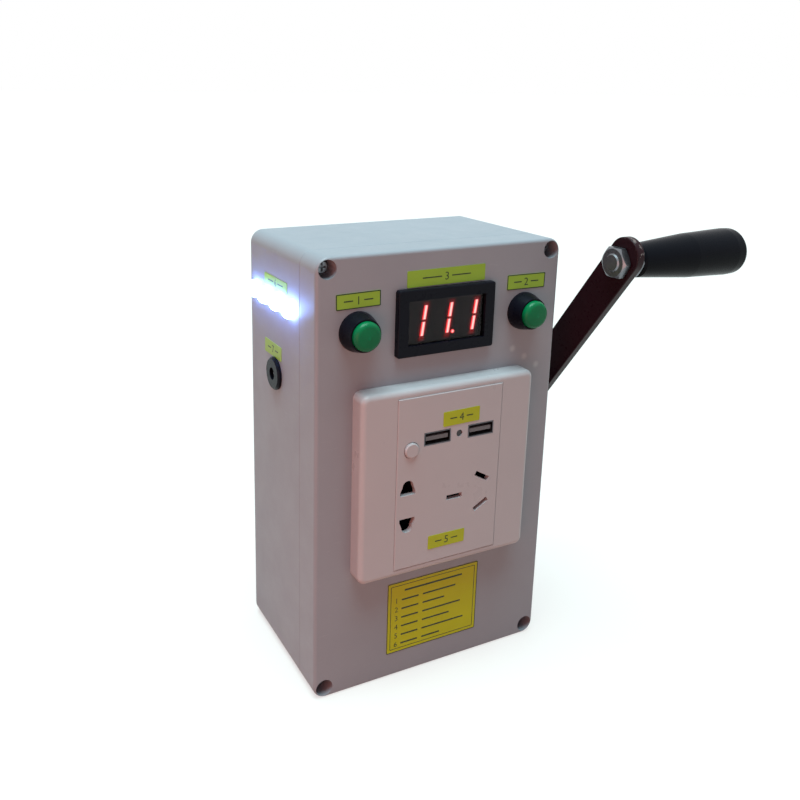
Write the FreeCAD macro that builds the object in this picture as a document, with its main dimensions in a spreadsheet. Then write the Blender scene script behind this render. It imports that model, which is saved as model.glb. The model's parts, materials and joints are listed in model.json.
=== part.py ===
import FreeCAD, Part
import math
import os
import re

import Sketcher
from FreeCAD import Placement, Rotation, Vector

# Hand crank generator: a two-part moulded box with a wall-socket module, two push buttons, a
# panel voltmeter, a row of lamps, a DC jack and a crank that drives a generator through gears.
# +X is the crank side, -Y the front, +Z up. The origin is the centre of the bottom face.

SIZES = {  # millimetres, degrees for angles, plain numbers for tooth counts
    # enclosure
    "box_width": 120.0,
    "box_height": 200.0,
    "box_depth": 75.0,
    "wall": 3.0,
    "lid_depth": 16.0,
    "corner_radius": 6.0,
    "back_radius": 3.0,
    "front_radius": 1.5,
    "seam_round": 0.35,
    "post_size": 10.0,  # square corner post that takes a lid screw
    "post_inset": 5.0,  # lid screw axis from each outer edge
    # seal between lid and base
    "tongue_thick": 1.2,
    "tongue_height": 1.8,
    "groove_clear": 0.15,
    "groove_depth": 3.0,
    "gasket_height": 1.1,
    "gasket_slack": 0.05,
    # lid screws
    "lid_screw_radius": 1.5,
    "lid_screw_length": 20.0,
    "lid_head_radius": 3.3,
    "lid_head_height": 2.4,
    "recess_radius": 4.0,
    "recess_depth": 8.0,
    "overcut": 0.5,  # a cutting tool's run past the wall that it opens
    "pilot_room": 1.5,  # a screw hole's depth beyond the screw's tip
    # fits
    "fixed_fit": 0.04,  # radial gap of round pieces that stay together
    "running_fit": 0.05,  # radial gap of a shaft in its bearing
    "loose_fit": 0.3,  # gap round a piece in its cut-out
    # crank
    "shaft_drop": 81.4,  # shaft axis under the box's top
    "shaft_radius": 4.0,
    "arm_angle": 125.9,  # from +Y towards +Z
    "arm_length": 90.0,  # shaft axis to handle axis
    "arm_width": 17.0,
    "arm_thick": 4.0,
    "arm_round": 0.5,
    "arm_overhang": 3.4,  # handle axis to the centre of the round end
    "arm_standoff": 16.0,  # box side to the arm
    "hub_radius": 8.0,
    "hub_clear": 1.0,
    "bush_radius": 6.0,
    "bush_flange_radius": 8.5,
    "bush_flange": 2.0,
    "nut_flats": 13.0,
    "nut_height": 4.0,
    "thread_stub": 0.6,  # thread that stands past a nut
    "thread_lead": 0.6,
    # handle
    "collar_length": 4.0,  # six-sided, with the nuts' flats
    "journal_radius": 4.5,
    "journal_length": 44.0,
    "bore_room": 1.0,
    "grip_clear": 0.3,
    "grip_length": 60.0,
    "grip_near_radius": 7.6,
    "grip_lead": 0.9,
    "grip_mid_radius": 10.1,
    "grip_far_radius": 10.9,
    "grip_mid": 30.0,
    "grip_far": 54.0,
    "grip_end_width": 10.6,
    "grip_end_radius": 2.2,
    "ring_wide": 1.2,
    "ring_depth": 0.8,  # retaining ring into the journal
    "ring_radius": 6.2,
    "ring_from_end": 5.0,
    "ring_play": 0.1,
    # gear train
    "gear_module": 0.8,
    "crank_teeth": 50,
    "idler_pinion_teeth": 14,
    "idler_gear_teeth": 40,
    "rotor_teeth": 12,
    "mesh_gap": 0.06,  # added to each centre distance
    "first_mesh_angle": 42.0,  # direction from the crank gear to the idler, from +Y
    "second_mesh_angle": -90.0,  # direction from the idler to the rotor
    "first_face": 6.0,
    "second_face": 5.0,
    "gear_gap": 3.5,  # between the idler's gear and its pinion
    "gear_end_gap": 2.5,  # between the gears and each plate
    "backlash": 0.12,  # a tooth is this much thinner than its gap, at the pitch circle
    "gear_bore_rim": 3.0,
    "gear_rim": 2.0,
    "web_thick": 2.0,
    "web_rim": 1.0,
    "pinion_over": 0.5,
    "idler_pin_radius": 2.5,
    "plate_thick": 2.5,
    "plate_under": 29.0,  # gearbox plates below the shaft
    "plate_over": 38.2,
    "plate_ahead": 9.5,
    "plate_behind": 38.0,
    "spacer_inset": 4.0,
    "gearbox_round": 3.6,
    "spacer_radius": 3.0,
    # machine screws
    "screw_radius": 1.5,
    "screw_length": 8.0,
    "screw_head_radius": 2.8,
    "screw_head_height": 1.8,
    # generator
    "can_radius": 18.0,
    "can_length": 50.0,
    "can_clear": 2.4,  # from the can to the box's inner back
    "can_wall": 1.5,
    "can_boss_radius": 5.0,
    "end_cap_thick": 3.0,
    "cap_boss_radius": 6.0,
    "cap_boss": 3.0,
    "shaft_out": 1.0,  # rotor shaft past the cap and past its pinion
    "magnet_thick": 3.8,
    "magnet_angle": 120.0,
    "magnet_length": 34.0,
    "air_gap": 0.6,
    "armature_length": 30.0,
    "armature_slots": 5,
    "slot_wide": 3.0,
    "slot_deep": 6.0,
    "rotor_shaft_radius": 2.0,
    # voltmeter
    "meter_drop": 30.6,  # middle of the meter under the box's top
    "meter_width": 48.0,
    "meter_height": 29.0,
    "meter_proud": 2.8,
    "meter_rim": 1.7,  # front flange past the body
    "meter_depth": 19.0,
    "meter_wall": 1.4,
    "meter_round": 1.2,
    "meter_edge": 0.7,
    "window_width": 38.0,
    "window_height": 19.4,
    "window_thick": 1.5,
    "window_lap": 1.0,
    "display_depth": 8.0,
    "display_gap": 0.45,
    "digit_pitch": 12.7,
    "digit_height": 14.2,
    "digit_stroke": 1.7,
    "bar_end": 0.6,  # half the gap between a figure's two strokes
    "point_x": 4.4,
    "point_radius": 0.85,
    "digit_thick": 0.25,
    "digit_slant": 8.0,
    # push buttons
    "button_inset": 18.6,  # button axis from the box's side
    "button_drop": 31.6,
    "bezel_radius": 8.5,
    "bezel_rim_radius": 6.9,
    "bezel_height": 7.5,
    "bezel_band": 1.5,
    "bezel_round": 9.0,
    "barrel_radius": 5.9,
    "barrel_length": 22.0,
    "barrel_floor": 1.2,
    "cap_radius": 6.15,
    "cap_clear": 0.25,
    "cap_proud": 10.8,  # cap's front from the lid
    "cap_cone": 0.6,
    "cap_round": 2.2,
    "button_travel": 2.5,
    "stem_radius": 2.8,
    "stem_fit": 0.25,
    "stem_room": 1.0,  # left under the stem at full travel
    "well_floor": 0.9,  # floor of the cap's well, in front of the lid
    "stop_gap": 0.15,  # left under the cap at full travel
    "pocket_gap": 2.0,  # from the stem to its spring pocket's wall
    "spring_pocket": 9.0,
    "spring_wire": 0.35,
    "button_nut_height": 2.0,
    "button_nut_flats": 15.0,
    "blade_pitch": 5.2,
    "blade_long": 6.0,
    "blade_wide": 2.4,
    "blade_thick": 0.6,
    # wall-socket module
    "plate_size": 86.0,
    "plate_proud": 8.5,
    "frame_wall": 2.0,
    "frame_corner": 3.5,
    "frame_round": 2.4,
    "insert_width": 52.6,
    "insert_height": 79.0,
    "insert_proud": 0.3,
    "insert_round": 0.5,
    "insert_face": 2.4,  # the insert is a thin-walled cover
    "insert_wall": 1.6,
    "yoke_thick": 2.5,
    "yoke_clear": 0.5,
    "body_inset": 0.6,  # the body is this much narrower than the insert
    "body_height": 68.0,
    "body_depth": 23.5,
    "body_floor": 3.0,
    "yoke_screw_x": 32.0,
    "pins_below": 10.0,  # pin centres under the plate's centre
    "flat_pin_edge": 5.4,  # wide edge of a two-pin hole from the pin centre
    "round_pin_end": 12.2,
    "flat_pin_half": 3.75,
    "flat_pin_high": 1.6,
    "round_pin_radius": 2.65,
    "earth_offset": 10.31,
    "line_offset_x": 3.96,
    "line_offset_z": 6.86,
    "slot_length": 8.0,
    "slot_width": 2.2,
    "pocket_depth": 15.0,
    "pocket_half": 4.3,
    "slot_room": 2.6,  # a pocket's width past its slot
    "leaf_thick": 0.6,
    "leaf_gap": 0.1,
    "leaf_wide": 5.0,
    "leaf_deep": 10.0,
    # USB sockets and their button
    "usb_above": 19.6,
    "usb_width": 13.2,
    "usb_height": 5.8,
    "usb_length": 14.7,
    "usb_shell": 0.35,
    "window_gap": 0.15,  # round each USB socket's shell
    "tongue_width": 11.1,
    "usb_tongue_thick": 1.84,
    "usb_tongue_length": 8.6,
    "tongue_back": 0.6,  # tongue's tip behind the shell's mouth
    "usb_board_thick": 1.6,
    "board_wall": 2.5,  # left of the body at each end of the USB board
    "usb_board_height": 21.0,
    "board_ledge": 2.5,
    "indicator_radius": 1.5,
    "indicator_back": 0.4,
    "usb_button_above": 16.0,
    "usb_button_radius": 3.4,
    "usb_button_proud": 1.0,
    "usb_button_edge": 0.5,
    "usb_button_gap": 0.25,
    "usb_button_travel": 0.8,
    "usb_stem_radius": 2.0,
    "switch_height": 2.0,
    "switch_size": 6.0,
    # lamp row
    "lamp_drop": 26.0,
    "lamp_margin": 7.0,  # outer lamps from the seam and from the inner back
    "lamp_radius": 4.0,
    "lamp_dome": 3.7,
    "lamp_flange_radius": 4.7,
    "lamp_flange": 1.0,
    "lamp_proud": 5.0,
    "lamp_board_end": 6.0,  # board past the outer lamps
    "lamp_board_high": 16.0,
    "board_thick": 1.6,
    # DC jack
    "jack_back": 0.9,  # jack axis in front of the lamps' middle
    "jack_drop": 60.3,
    "jack_flange_radius": 7.5,
    "jack_flange": 1.8,
    "jack_round": 0.8,
    "jack_barrel_radius": 5.4,
    "jack_barrel": 14.0,
    "jack_bore_radius": 2.8,
    "jack_bore_depth": 10.0,
    "jack_pin_long": 9.0,
    "jack_pin_radius": 1.05,
    "jack_nut_height": 2.0,
    "jack_nut_flats": 14.0,
    # battery
    "cell_radius": 9.2,
    "battery_clear": 17.5,  # from the holder up to the generator
    "cell_pitch": 19.2,
    "cell_button_radius": 2.8,
    "cell_button": 0.9,
    "cell_gap": 0.1,
    "holder_wall": 1.6,
    "holder_bottom": 10.0,
    "holder_lip": 8.0,
    # inverter board
    "inverter_y": 6.0,
    "inverter_low": 10.0,
    "inverter_height": 50.0,
    "inverter_width": 96.0,
    "inverter_hole_inset": 4.0,
    "board_post_radius": 3.2,
    "core_width": 26.0,
    "core_height": 24.0,
    "core_depth": 7.0,
    "core_limb": 4.0,
    "winding_radius": 8.4,
    "transformer_x": -22.0,
    "parts_z": 34.0,
    "sink_x": 20.0,
    "sink_width": 30.0,
    "sink_height": 26.0,
    "sink_base": 3.0,
    "sink_depth": 14.0,
    "fin_thick": 1.4,
}

TWO_PIN_AT = -0.39  # places across the socket's insert, as shares of its width
THREE_PIN_AT = 0.2586
USB_LEFT_AT = -0.1255
USB_RIGHT_AT = 0.2966
USB_BUTTON_AT = -0.3688
HEAD_BAND = 0.45  # a screw head's straight rim, as a share of its height
HEAD_CROWN = 0.72  # and the radius of its flat crown, as a share of its own
CROSS_LONG = 1.1
CROSS_WIDE = 0.28
NUT_FACE = 0.94  # a nut's round end face, as a share of its width over flats
FIN_COUNT = 6
SPRING_COILS = 5
SPRING_STEPS = 10  # wire sections in one coil

doc = FreeCAD.newDocument("HandCrankGenerator")
sheet = doc.addObject("Spreadsheet::Sheet", "Dims")
for row, (name, value) in enumerate(SIZES.items(), start=1):
    sheet.set(f"A{row}", name)
    sheet.set(f"B{row}", str(value))
    sheet.setAlias(f"B{row}", name)
doc.recompute()

# Local z of a turned piece points this way in the box.
UP = Rotation()
FRONT = Rotation(Vector(1, 0, 0), 90)  # x to +X, y to +Z, z to -Y
RIGHT = Rotation(Vector(1, 1, 1), 120)  # x to +Y, y to +Z, z to +X
LEFT = Rotation(Vector(0, -1, 0), Vector(0, 0, 1), Vector(-1, 0, 0), "XYZ")
ORIGIN = ("0", "0", "0")
nodes = []


def size(name):
    """A cell's number, for shapes that the sheet can't drive by itself."""
    return float(sheet.get(name))


def formula(text):
    """An expression with each size's name turned into its cell."""
    return re.sub(r"[a-z][a-z0-9_]+", lambda w: "Dims." + w[0] if w[0] in SIZES else w[0], text)


def bind(item, **sizes):
    for prop, text in sizes.items():
        item.setExpression(prop, formula(text))


def place(item, at, turn=UP):
    item.Placement = Placement(Vector(), turn)
    for axis, text in zip("xyz", at):
        item.setExpression(f"Placement.Base.{axis}", formula(text))


def node(label, item):
    """Mark an object as a finished sub-part."""
    item.Label = label
    nodes.append(item)
    return item


# ---- Part primitives and booleans, placed in the box's own frame


def block(at, length, width, height):
    made = doc.addObject("Part::Box", "block")
    bind(made, Length=length, Width=width, Height=height)
    place(made, at)
    return made


def rod(at, radius, length, turn=UP):
    made = doc.addObject("Part::Cylinder", "rod")
    bind(made, Radius=radius, Height=length)
    place(made, at, turn)
    return made


def hexagon(at, flats, height, turn):
    made = doc.addObject("Part::Prism", "hexagon")
    made.Polygon = 6
    bind(made, Circumradius=f"({flats}) / 2 / cos(30)", Height=height)
    place(made, at, turn)
    return made


def join(*items):
    made = doc.addObject("Part::MultiFuse", "join")
    made.Shapes = list(items)
    return made


def cut(base, *tools):
    made = doc.addObject("Part::Cut", "cut")
    made.Base = base
    made.Tool = tools[0] if len(tools) == 1 else join(*tools)
    return made


def common(*items):
    made = doc.addObject("Part::MultiCommon", "common")
    made.Shapes = list(items)
    return made


def group(*items):
    made = doc.addObject("Part::Compound", "group")
    made.Links = list(items)
    return made


def feature(shape):
    made = doc.addObject("Part::Feature", "shape")
    made.Shape = shape
    return made


# ---- PartDesign bodies


def body(at=ORIGIN, turn=UP):
    made = doc.addObject("PartDesign::Body", "body")
    place(made, at, turn)
    return made


def add(part, kind, at, **sizes):
    """A box or cylinder that is added to a body or taken from it."""
    made = part.newObject("PartDesign::" + kind, kind)
    bind(made, **sizes)
    place(made, at)
    return made


def add_box(part, at, length, width, height):
    return add(part, "AdditiveBox", at, Length=length, Width=width, Height=height)


def cut_box(part, at, length, width, height):
    return add(part, "SubtractiveBox", at, Length=length, Width=width, Height=height)


def add_rod(part, at, radius, length):
    return add(part, "AdditiveCylinder", at, Radius=radius, Height=length)


def cut_rod(part, at, radius, length):
    return add(part, "SubtractiveCylinder", at, Radius=radius, Height=length)


def round_edges(part, radius, chosen):
    """Fillet the edges of a body's last feature for which chosen(edge, box of the shape) holds."""
    doc.recompute()
    base = part.Tip
    edges = enumerate(base.Shape.Edges, start=1)
    names = [f"Edge{i}" for i, edge in edges if chosen(edge, base.Shape.BoundBox)]
    made = part.newObject("PartDesign::Fillet", "rounding")
    made.Base = (base, names)
    bind(made, Radius=radius)
    return made


def along_z(edge, bounds):
    box = edge.BoundBox
    return box.ZLength > 0.9 * bounds.ZLength and box.XLength + box.YLength < 0.01


def on_top(edge, bounds):
    return edge.BoundBox.ZMin > bounds.ZMax - 0.001


def on_bottom(edge, bounds):
    return edge.BoundBox.ZMax < bounds.ZMin + 0.001


def outline(part, points, plane):
    """A closed sketch of straight runs; each corner is held at its formulas from the origin."""
    sketch = part.newObject("Sketcher::SketchObject", "outline")
    support = next(o for o in part.Origin.OriginFeatures if o.Role == plane)
    sketch.AttachmentSupport = (support, "")
    sketch.MapMode = "FlatFace"
    count = len(points)
    turn = 2 * math.pi / count
    start = [Vector(9 + math.cos(i * turn), 9 + math.sin(i * turn), 0) for i in range(count)]
    for i in range(count):
        sketch.addGeometry(Part.LineSegment(start[i], start[(i + 1) % count]), False)
    for i in range(count):
        sketch.addConstraint(Sketcher.Constraint("Coincident", i, 2, (i + 1) % count, 1))
    for i, corner in enumerate(points):
        for text, kind, axis, guess in (
            (corner[0], "DistanceX", -2, start[i].x),
            (corner[1], "DistanceY", -1, start[i].y),
        ):
            if text == "0":
                sketch.addConstraint(Sketcher.Constraint("PointOnObject", i, 1, axis))
            else:
                index = sketch.addConstraint(Sketcher.Constraint(kind, -1, 1, i, 1, guess))
                sketch.setExpression(f"Constraints[{index}]", formula(text))
    return sketch


def turned(at, turn, profile):
    """A body turned about its local z from (radius, height) corners."""
    part = body(at, turn)
    sketch = outline(part, profile, "XZ_Plane")
    made = part.newObject("PartDesign::Revolution", "turning")
    made.Profile = sketch
    made.ReferenceAxis = (sketch, ["V_Axis"])
    made.Angle = 360
    return part


def padded(at, turn, points, length):
    """A body padded from a straight-sided outline."""
    part = body(at, turn)
    sketch = outline(part, points, "XY_Plane")
    made = part.newObject("PartDesign::Pad", "pad")
    made.Profile = sketch
    bind(made, Length=length)
    return part


# ---- places that several pieces share, as formulas

shaft_z = "(box_height - shaft_drop)"
meter_z = "(box_height - meter_drop)"
button_x = "(box_width / 2 - button_inset)"
button_z = "(box_height - button_drop)"
socket_z = "(box_height / 2)"
body_width = "(insert_width - body_inset)"
board_half = f"({body_width} / 2 - board_wall)"
lamp_y = "((lid_depth - wall) / 2)"  # middle of the base's inner side
lamp_z = "(box_height - lamp_drop)"
lamp_pitch = "((box_depth - lid_depth - wall - 2 * lamp_margin) / 3)"
jack_y = f"({lamp_y} - jack_back)"
jack_z = "(box_height - jack_drop)"
plate_low = f"({shaft_z} - plate_under)"
plate_high = f"({shaft_z} + plate_over)"
front = "(-box_depth / 2)"
side = "(box_width / 2)"
seam = "(lid_depth - box_depth / 2)"
back_inside = "(box_depth / 2 - wall)"
side_inside = "(box_width / 2 - wall)"
arm_in = "(box_width / 2 + arm_standoff)"
arm_out = "(box_width / 2 + arm_standoff + arm_thick)"
first_distance = "(gear_module * (crank_teeth + idler_pinion_teeth) / 2 + mesh_gap)"
second_distance = "(gear_module * (idler_gear_teeth + rotor_teeth) / 2 + mesh_gap)"
rotor_y = f"({back_inside} - can_clear - can_radius)"
idler_y = f"({rotor_y} - {second_distance} * cos(second_mesh_angle))"
shaft_y = f"({idler_y} - {first_distance} * cos(first_mesh_angle))"
idler_z = f"({shaft_z} + {first_distance} * sin(first_mesh_angle))"
rotor_z = f"({idler_z} + {second_distance} * sin(second_mesh_angle))"
plate_front = f"({shaft_y} - plate_ahead)"
plate_back = f"({shaft_y} + plate_behind)"
handle_y = f"({shaft_y} + arm_length * cos(arm_angle))"
handle_z = f"({shaft_z} + arm_length * sin(arm_angle))"
outer_plate = f"({side_inside} - plate_thick)"
first_gear_x = f"({outer_plate} - gear_end_gap - first_face)"
second_gear_x = f"({first_gear_x} - gear_gap - second_face)"
plate_inside = f"({second_gear_x} - gear_end_gap)"
inner_plate = f"({plate_inside} - plate_thick)"
spacer_spots = [
    (y, z)
    for y in (f"{plate_front} + spacer_inset", f"{plate_back} - spacer_inset")
    for z in (f"{plate_low} + spacer_inset", f"{plate_high} - spacer_inset")
]
corner_spots = [
    (f"{sx} * (box_width / 2 - post_inset)", f"box_height / 2 + {sz} * (box_height / 2 - post_inset)")
    for sx in (-1, 1)
    for sz in (-1, 1)
]
board_spots = [
    (
        f"{sx} * (inverter_width / 2 - inverter_hole_inset)",
        f"inverter_low + inverter_height / 2 + {sz} * (inverter_height / 2 - inverter_hole_inset)",
    )
    for sx in (-1, 1)
    for sz in (-1, 1)
]


# ---- enclosure


def cross_prism(margin, start_y, length):
    """The cavity's outline, notched round the corner posts, grown outwards by margin."""
    wide = block(
        (f"-{side} + wall - {margin}", start_y, f"post_size - {margin}"),
        f"box_width - 2 * wall + 2 * {margin}",
        length,
        f"box_height - 2 * post_size + 2 * {margin}",
    )
    tall = block(
        (f"-{side} + post_size - {margin}", start_y, f"wall - {margin}"),
        f"box_width - 2 * post_size + 2 * {margin}",
        length,
        f"box_height - 2 * wall + 2 * {margin}",
    )
    return join(wide, tall)


def cross_ring(inner, outer, start_y, length):
    return cut(cross_prism(outer, start_y, length), cross_prism(inner, start_y, length))


tongue_in = "((wall - tongue_thick) / 2)"
tongue_out = "((wall + tongue_thick) / 2)"
groove_in = "((wall - tongue_thick) / 2 - groove_clear)"
groove_out = "((wall + tongue_thick) / 2 + groove_clear)"


def shell_half(start_y, depth, edge_radius, outer_edges, seam_edges):
    """A moulded half, still solid, with all its outer edges rounded; local z runs to the front."""
    part = body((f"-{side}", start_y, "0"), FRONT)
    add_box(part, ORIGIN, "box_width", "box_height", depth)
    round_edges(part, "corner_radius", along_z)
    round_edges(part, edge_radius, outer_edges)
    round_edges(part, "seam_round", seam_edges)
    return part


def enclosure_base():
    part = shell_half("box_depth / 2", "box_depth - lid_depth", "back_radius", on_bottom, on_top)
    deep = "box_depth - lid_depth - wall"
    cut_box(
        part, ("wall", "post_size", "wall"), "box_width - 2 * wall", "box_height - 2 * post_size", deep
    )
    cut_box(
        part, ("post_size", "wall", "wall"), "box_width - 2 * post_size", "box_height - 2 * wall", deep
    )
    pilot = "lid_screw_length - lid_depth + recess_depth + pilot_room"
    for x, z in corner_spots:
        at = (f"{side} + {x}", z, f"box_depth - lid_depth - ({pilot})")
        cut_rod(part, at, "lid_screw_radius + fixed_fit", pilot)
    for x, z in board_spots:
        at = (f"{side} + {x}", z, "wall")
        add_rod(part, at, "board_post_radius", f"{back_inside} - inverter_y - board_thick")
    tongue = cross_ring(tongue_in, tongue_out, f"{seam} - tongue_height", "tongue_height")
    inside = f"{side_inside} - overcut"
    long = "wall + 2 * overcut"
    through = [rod((inside, shaft_y, shaft_z), "bush_radius + fixed_fit", long, RIGHT)]
    for y, z in spacer_spots:
        through.append(rod((inside, y, z), "screw_radius + fixed_fit", long, RIGHT))
    for i in range(4):
        at = (f"-({inside})", f"{lamp_y} + ({i} - 1.5) * {lamp_pitch}", lamp_z)
        through.append(rod(at, "lamp_radius + fixed_fit", long, LEFT))
    at = (f"-({inside})", jack_y, jack_z)
    through.append(rod(at, "jack_barrel_radius + fixed_fit", long, LEFT))
    for x, z in board_spots:
        at = (x, "inverter_y + screw_length + pilot_room", z)
        through.append(rod(at, "screw_radius + fixed_fit", "screw_length + pilot_room", FRONT))
    node("enclosure_base", cut(join(part, tongue), *through))


def enclosure_lid():
    part = shell_half(seam, "lid_depth", "front_radius", on_top, on_bottom)
    deep = "lid_depth - wall"
    cut_box(
        part, ("wall", "post_size", "0"), "box_width - 2 * wall", "box_height - 2 * post_size", deep
    )
    cut_box(
        part, ("post_size", "wall", "0"), "box_width - 2 * post_size", "box_height - 2 * wall", deep
    )
    for x, z in corner_spots:
        at = (f"{side} + {x}", z)
        cut_rod(part, at + ("0",), "lid_screw_radius + fixed_fit", "lid_depth")
        cut_rod(part, at + ("lid_depth - recess_depth",), "recess_radius", "recess_depth")
    for sign in (-1, 1):
        at = (f"{side} + {sign} * {button_x}", button_z, "0")
        cut_rod(part, at, "barrel_radius + fixed_fit", "lid_depth")
        at = (f"{side} + {sign} * yoke_screw_x", socket_z, deep)
        cut_rod(part, at, "screw_radius + fixed_fit", "wall")
    for width, height, z in (
        ("meter_width - 2 * meter_rim", "meter_height - 2 * meter_rim", meter_z),
        (body_width, "body_height", socket_z),
    ):
        wide = f"({width} + 2 * loose_fit)"
        high = f"({height} + 2 * loose_fit)"
        cut_box(part, (f"{side} - {wide} / 2", f"{z} - {high} / 2", "0"), wide, high, "lid_depth")
    groove = cross_ring(groove_in, groove_out, f"{seam} - groove_depth", "groove_depth")
    node("enclosure_lid", cut(part, groove))


def lid_gasket():
    inner = f"({groove_in} + gasket_slack)"
    outer = f"({groove_out} - gasket_slack)"
    node("lid_gasket", cross_ring(inner, outer, f"{seam} - groove_depth", "gasket_height"))


def screw(at, turn, radius, length, head_radius, head_height):
    """A cross-head pan screw; its head starts at the given place and local z runs out of it."""
    part = turned(
        at,
        turn,
        [
            ("0", "0"),
            (head_radius, "0"),
            (head_radius, f"{head_height} * {HEAD_BAND}"),
            (f"{head_radius} * {HEAD_CROWN}", head_height),
            ("0", head_height),
        ],
    )
    long = f"{head_radius} * {CROSS_LONG}"
    wide = f"{head_radius} * {CROSS_WIDE}"
    for size_x, size_y in ((long, wide), (wide, long)):
        corner = (f"-{size_x} / 2", f"-{size_y} / 2", f"{head_height} * {HEAD_BAND}")
        cut_box(part, corner, size_x, size_y, head_height)
    add_rod(part, ("0", "0", f"-{length}"), radius, length)
    return part


def lid_screws():
    node(
        "lid_screws",
        group(
            *[
                screw(
                    (x, f"{front} + recess_depth", z),
                    FRONT,
                    "lid_screw_radius",
                    "lid_screw_length",
                    "lid_head_radius",
                    "lid_head_height",
                )
                for x, z in corner_spots
            ]
        ),
    )


def machine_screw(at, turn):
    return screw(at, turn, "screw_radius", "screw_length", "screw_head_radius", "screw_head_height")


def machine_screws():
    """Gearbox screws from both ends of its spacers, and the inverter board's screws."""
    made = [machine_screw((side, y, z), RIGHT) for y, z in spacer_spots]
    made += [machine_screw((inner_plate, y, z), LEFT) for y, z in spacer_spots]
    made += [machine_screw((x, "inverter_y", z), FRONT) for x, z in board_spots]
    node("machine_screws", group(*made))


def six_sided(at, flats, height, turn):
    """A hexagon whose corners are turned off at both ends, as on a machined nut."""
    corner = f"({flats} / 2 / cos(30))"
    end = f"({NUT_FACE} * {flats} / 2)"
    slope = f"(({corner} - {end}) * tan(30))"
    drum = turned(
        at,
        turn,
        [
            ("0", "0"),
            (end, "0"),
            (corner, slope),
            (corner, f"{height} - {slope}"),
            (end, height),
            ("0", height),
        ],
    )
    return common(hexagon(at, flats, height, turn), drum)


def nut(at, flats, height, bore, turn):
    return cut(six_sided(at, flats, height, turn), rod(at, f"{bore} + fixed_fit", height, turn))


# ---- voltmeter: the body sits in the lid, the flange on it


def centred(width, height, z):
    """The low corner, in the front's own axes, of a rectangle centred over the origin."""
    return (f"-({width}) / 2", f"-({height}) / 2", z)


def meter_housing():
    part = body(("0", front, meter_z), FRONT)
    add_box(part, centred("meter_width", "meter_height", "0"), "meter_width", "meter_height", "meter_proud")
    round_edges(part, "meter_round", along_z)
    round_edges(part, "meter_edge", on_top)
    wide = "meter_width - 2 * meter_rim"
    high = "meter_height - 2 * meter_rim"
    add_box(part, centred(wide, high, "-meter_depth"), wide, high, "meter_depth")
    room_wide = f"{wide} - 2 * meter_wall"
    room_high = f"{high} - 2 * meter_wall"
    room = "meter_depth + meter_proud - meter_wall"
    cut_box(part, centred(room_wide, room_high, "-meter_depth"), room_wide, room_high, room)
    pane = centred("window_width", "window_height", "0")
    cut_box(part, pane, "window_width", "window_height", "meter_proud")
    node("meter_housing", part)


def meter_window():
    """A tinted pane behind the flange's opening, lapping it all round."""
    wide = "window_width + 2 * window_lap"
    high = "window_height + 2 * window_lap"
    part = body(("0", front, meter_z), FRONT)
    pane = "meter_proud - meter_wall - window_thick"
    add_box(part, centred(wide, high, pane), wide, high, "window_thick")
    node("meter_window", part)


def meter_display():
    """The digit module, a close fit in the housing."""
    wide = "meter_width - 2 * meter_rim - 2 * meter_wall - loose_fit"
    high = "meter_height - 2 * meter_rim - 2 * meter_wall - loose_fit"
    part = body(("0", front, meter_z), FRONT)
    top = "meter_proud - meter_wall - window_thick - display_gap"
    add_box(part, centred(wide, high, f"{top} - display_depth"), wide, high, "display_depth")
    node("meter_display", part)


def meter_digits():
    """Lit bars of three figures, each the two right-hand strokes, and one point."""
    face = "meter_proud - meter_wall - window_thick - display_gap"
    stroke = "digit_stroke"
    reach = "(digit_height / 2 - 2 * bar_end)"
    slope = "tan(digit_slant)"
    bars = []
    for digit in range(3):
        centre = f"({digit} - 1) * digit_pitch + digit_stroke"
        for half in (0, 1):
            low = f"({half} * digit_height / 2 + bar_end)"
            shift = f"{centre} + ({low} - digit_height / 2) * {slope}"
            corners = [
                ("0", "0"),
                (stroke, "0"),
                (f"{stroke} + {reach} * {slope}", reach),
                (f"{reach} * {slope}", reach),
            ]
            at = (shift, f"{front} - ({face})", f"{meter_z} - digit_height / 2 + {low}")
            bars.append(padded(at, FRONT, corners, "digit_thick"))
    at = ("point_x", f"{front} - ({face})", f"{meter_z} - digit_height / 2 + point_radius")
    bars.append(rod(at, "point_radius", "digit_thick", FRONT))
    node("meter_digits", group(*bars))


# ---- push buttons: local height 0 is the barrel's rear end, at barrel_length behind the lid face


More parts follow.
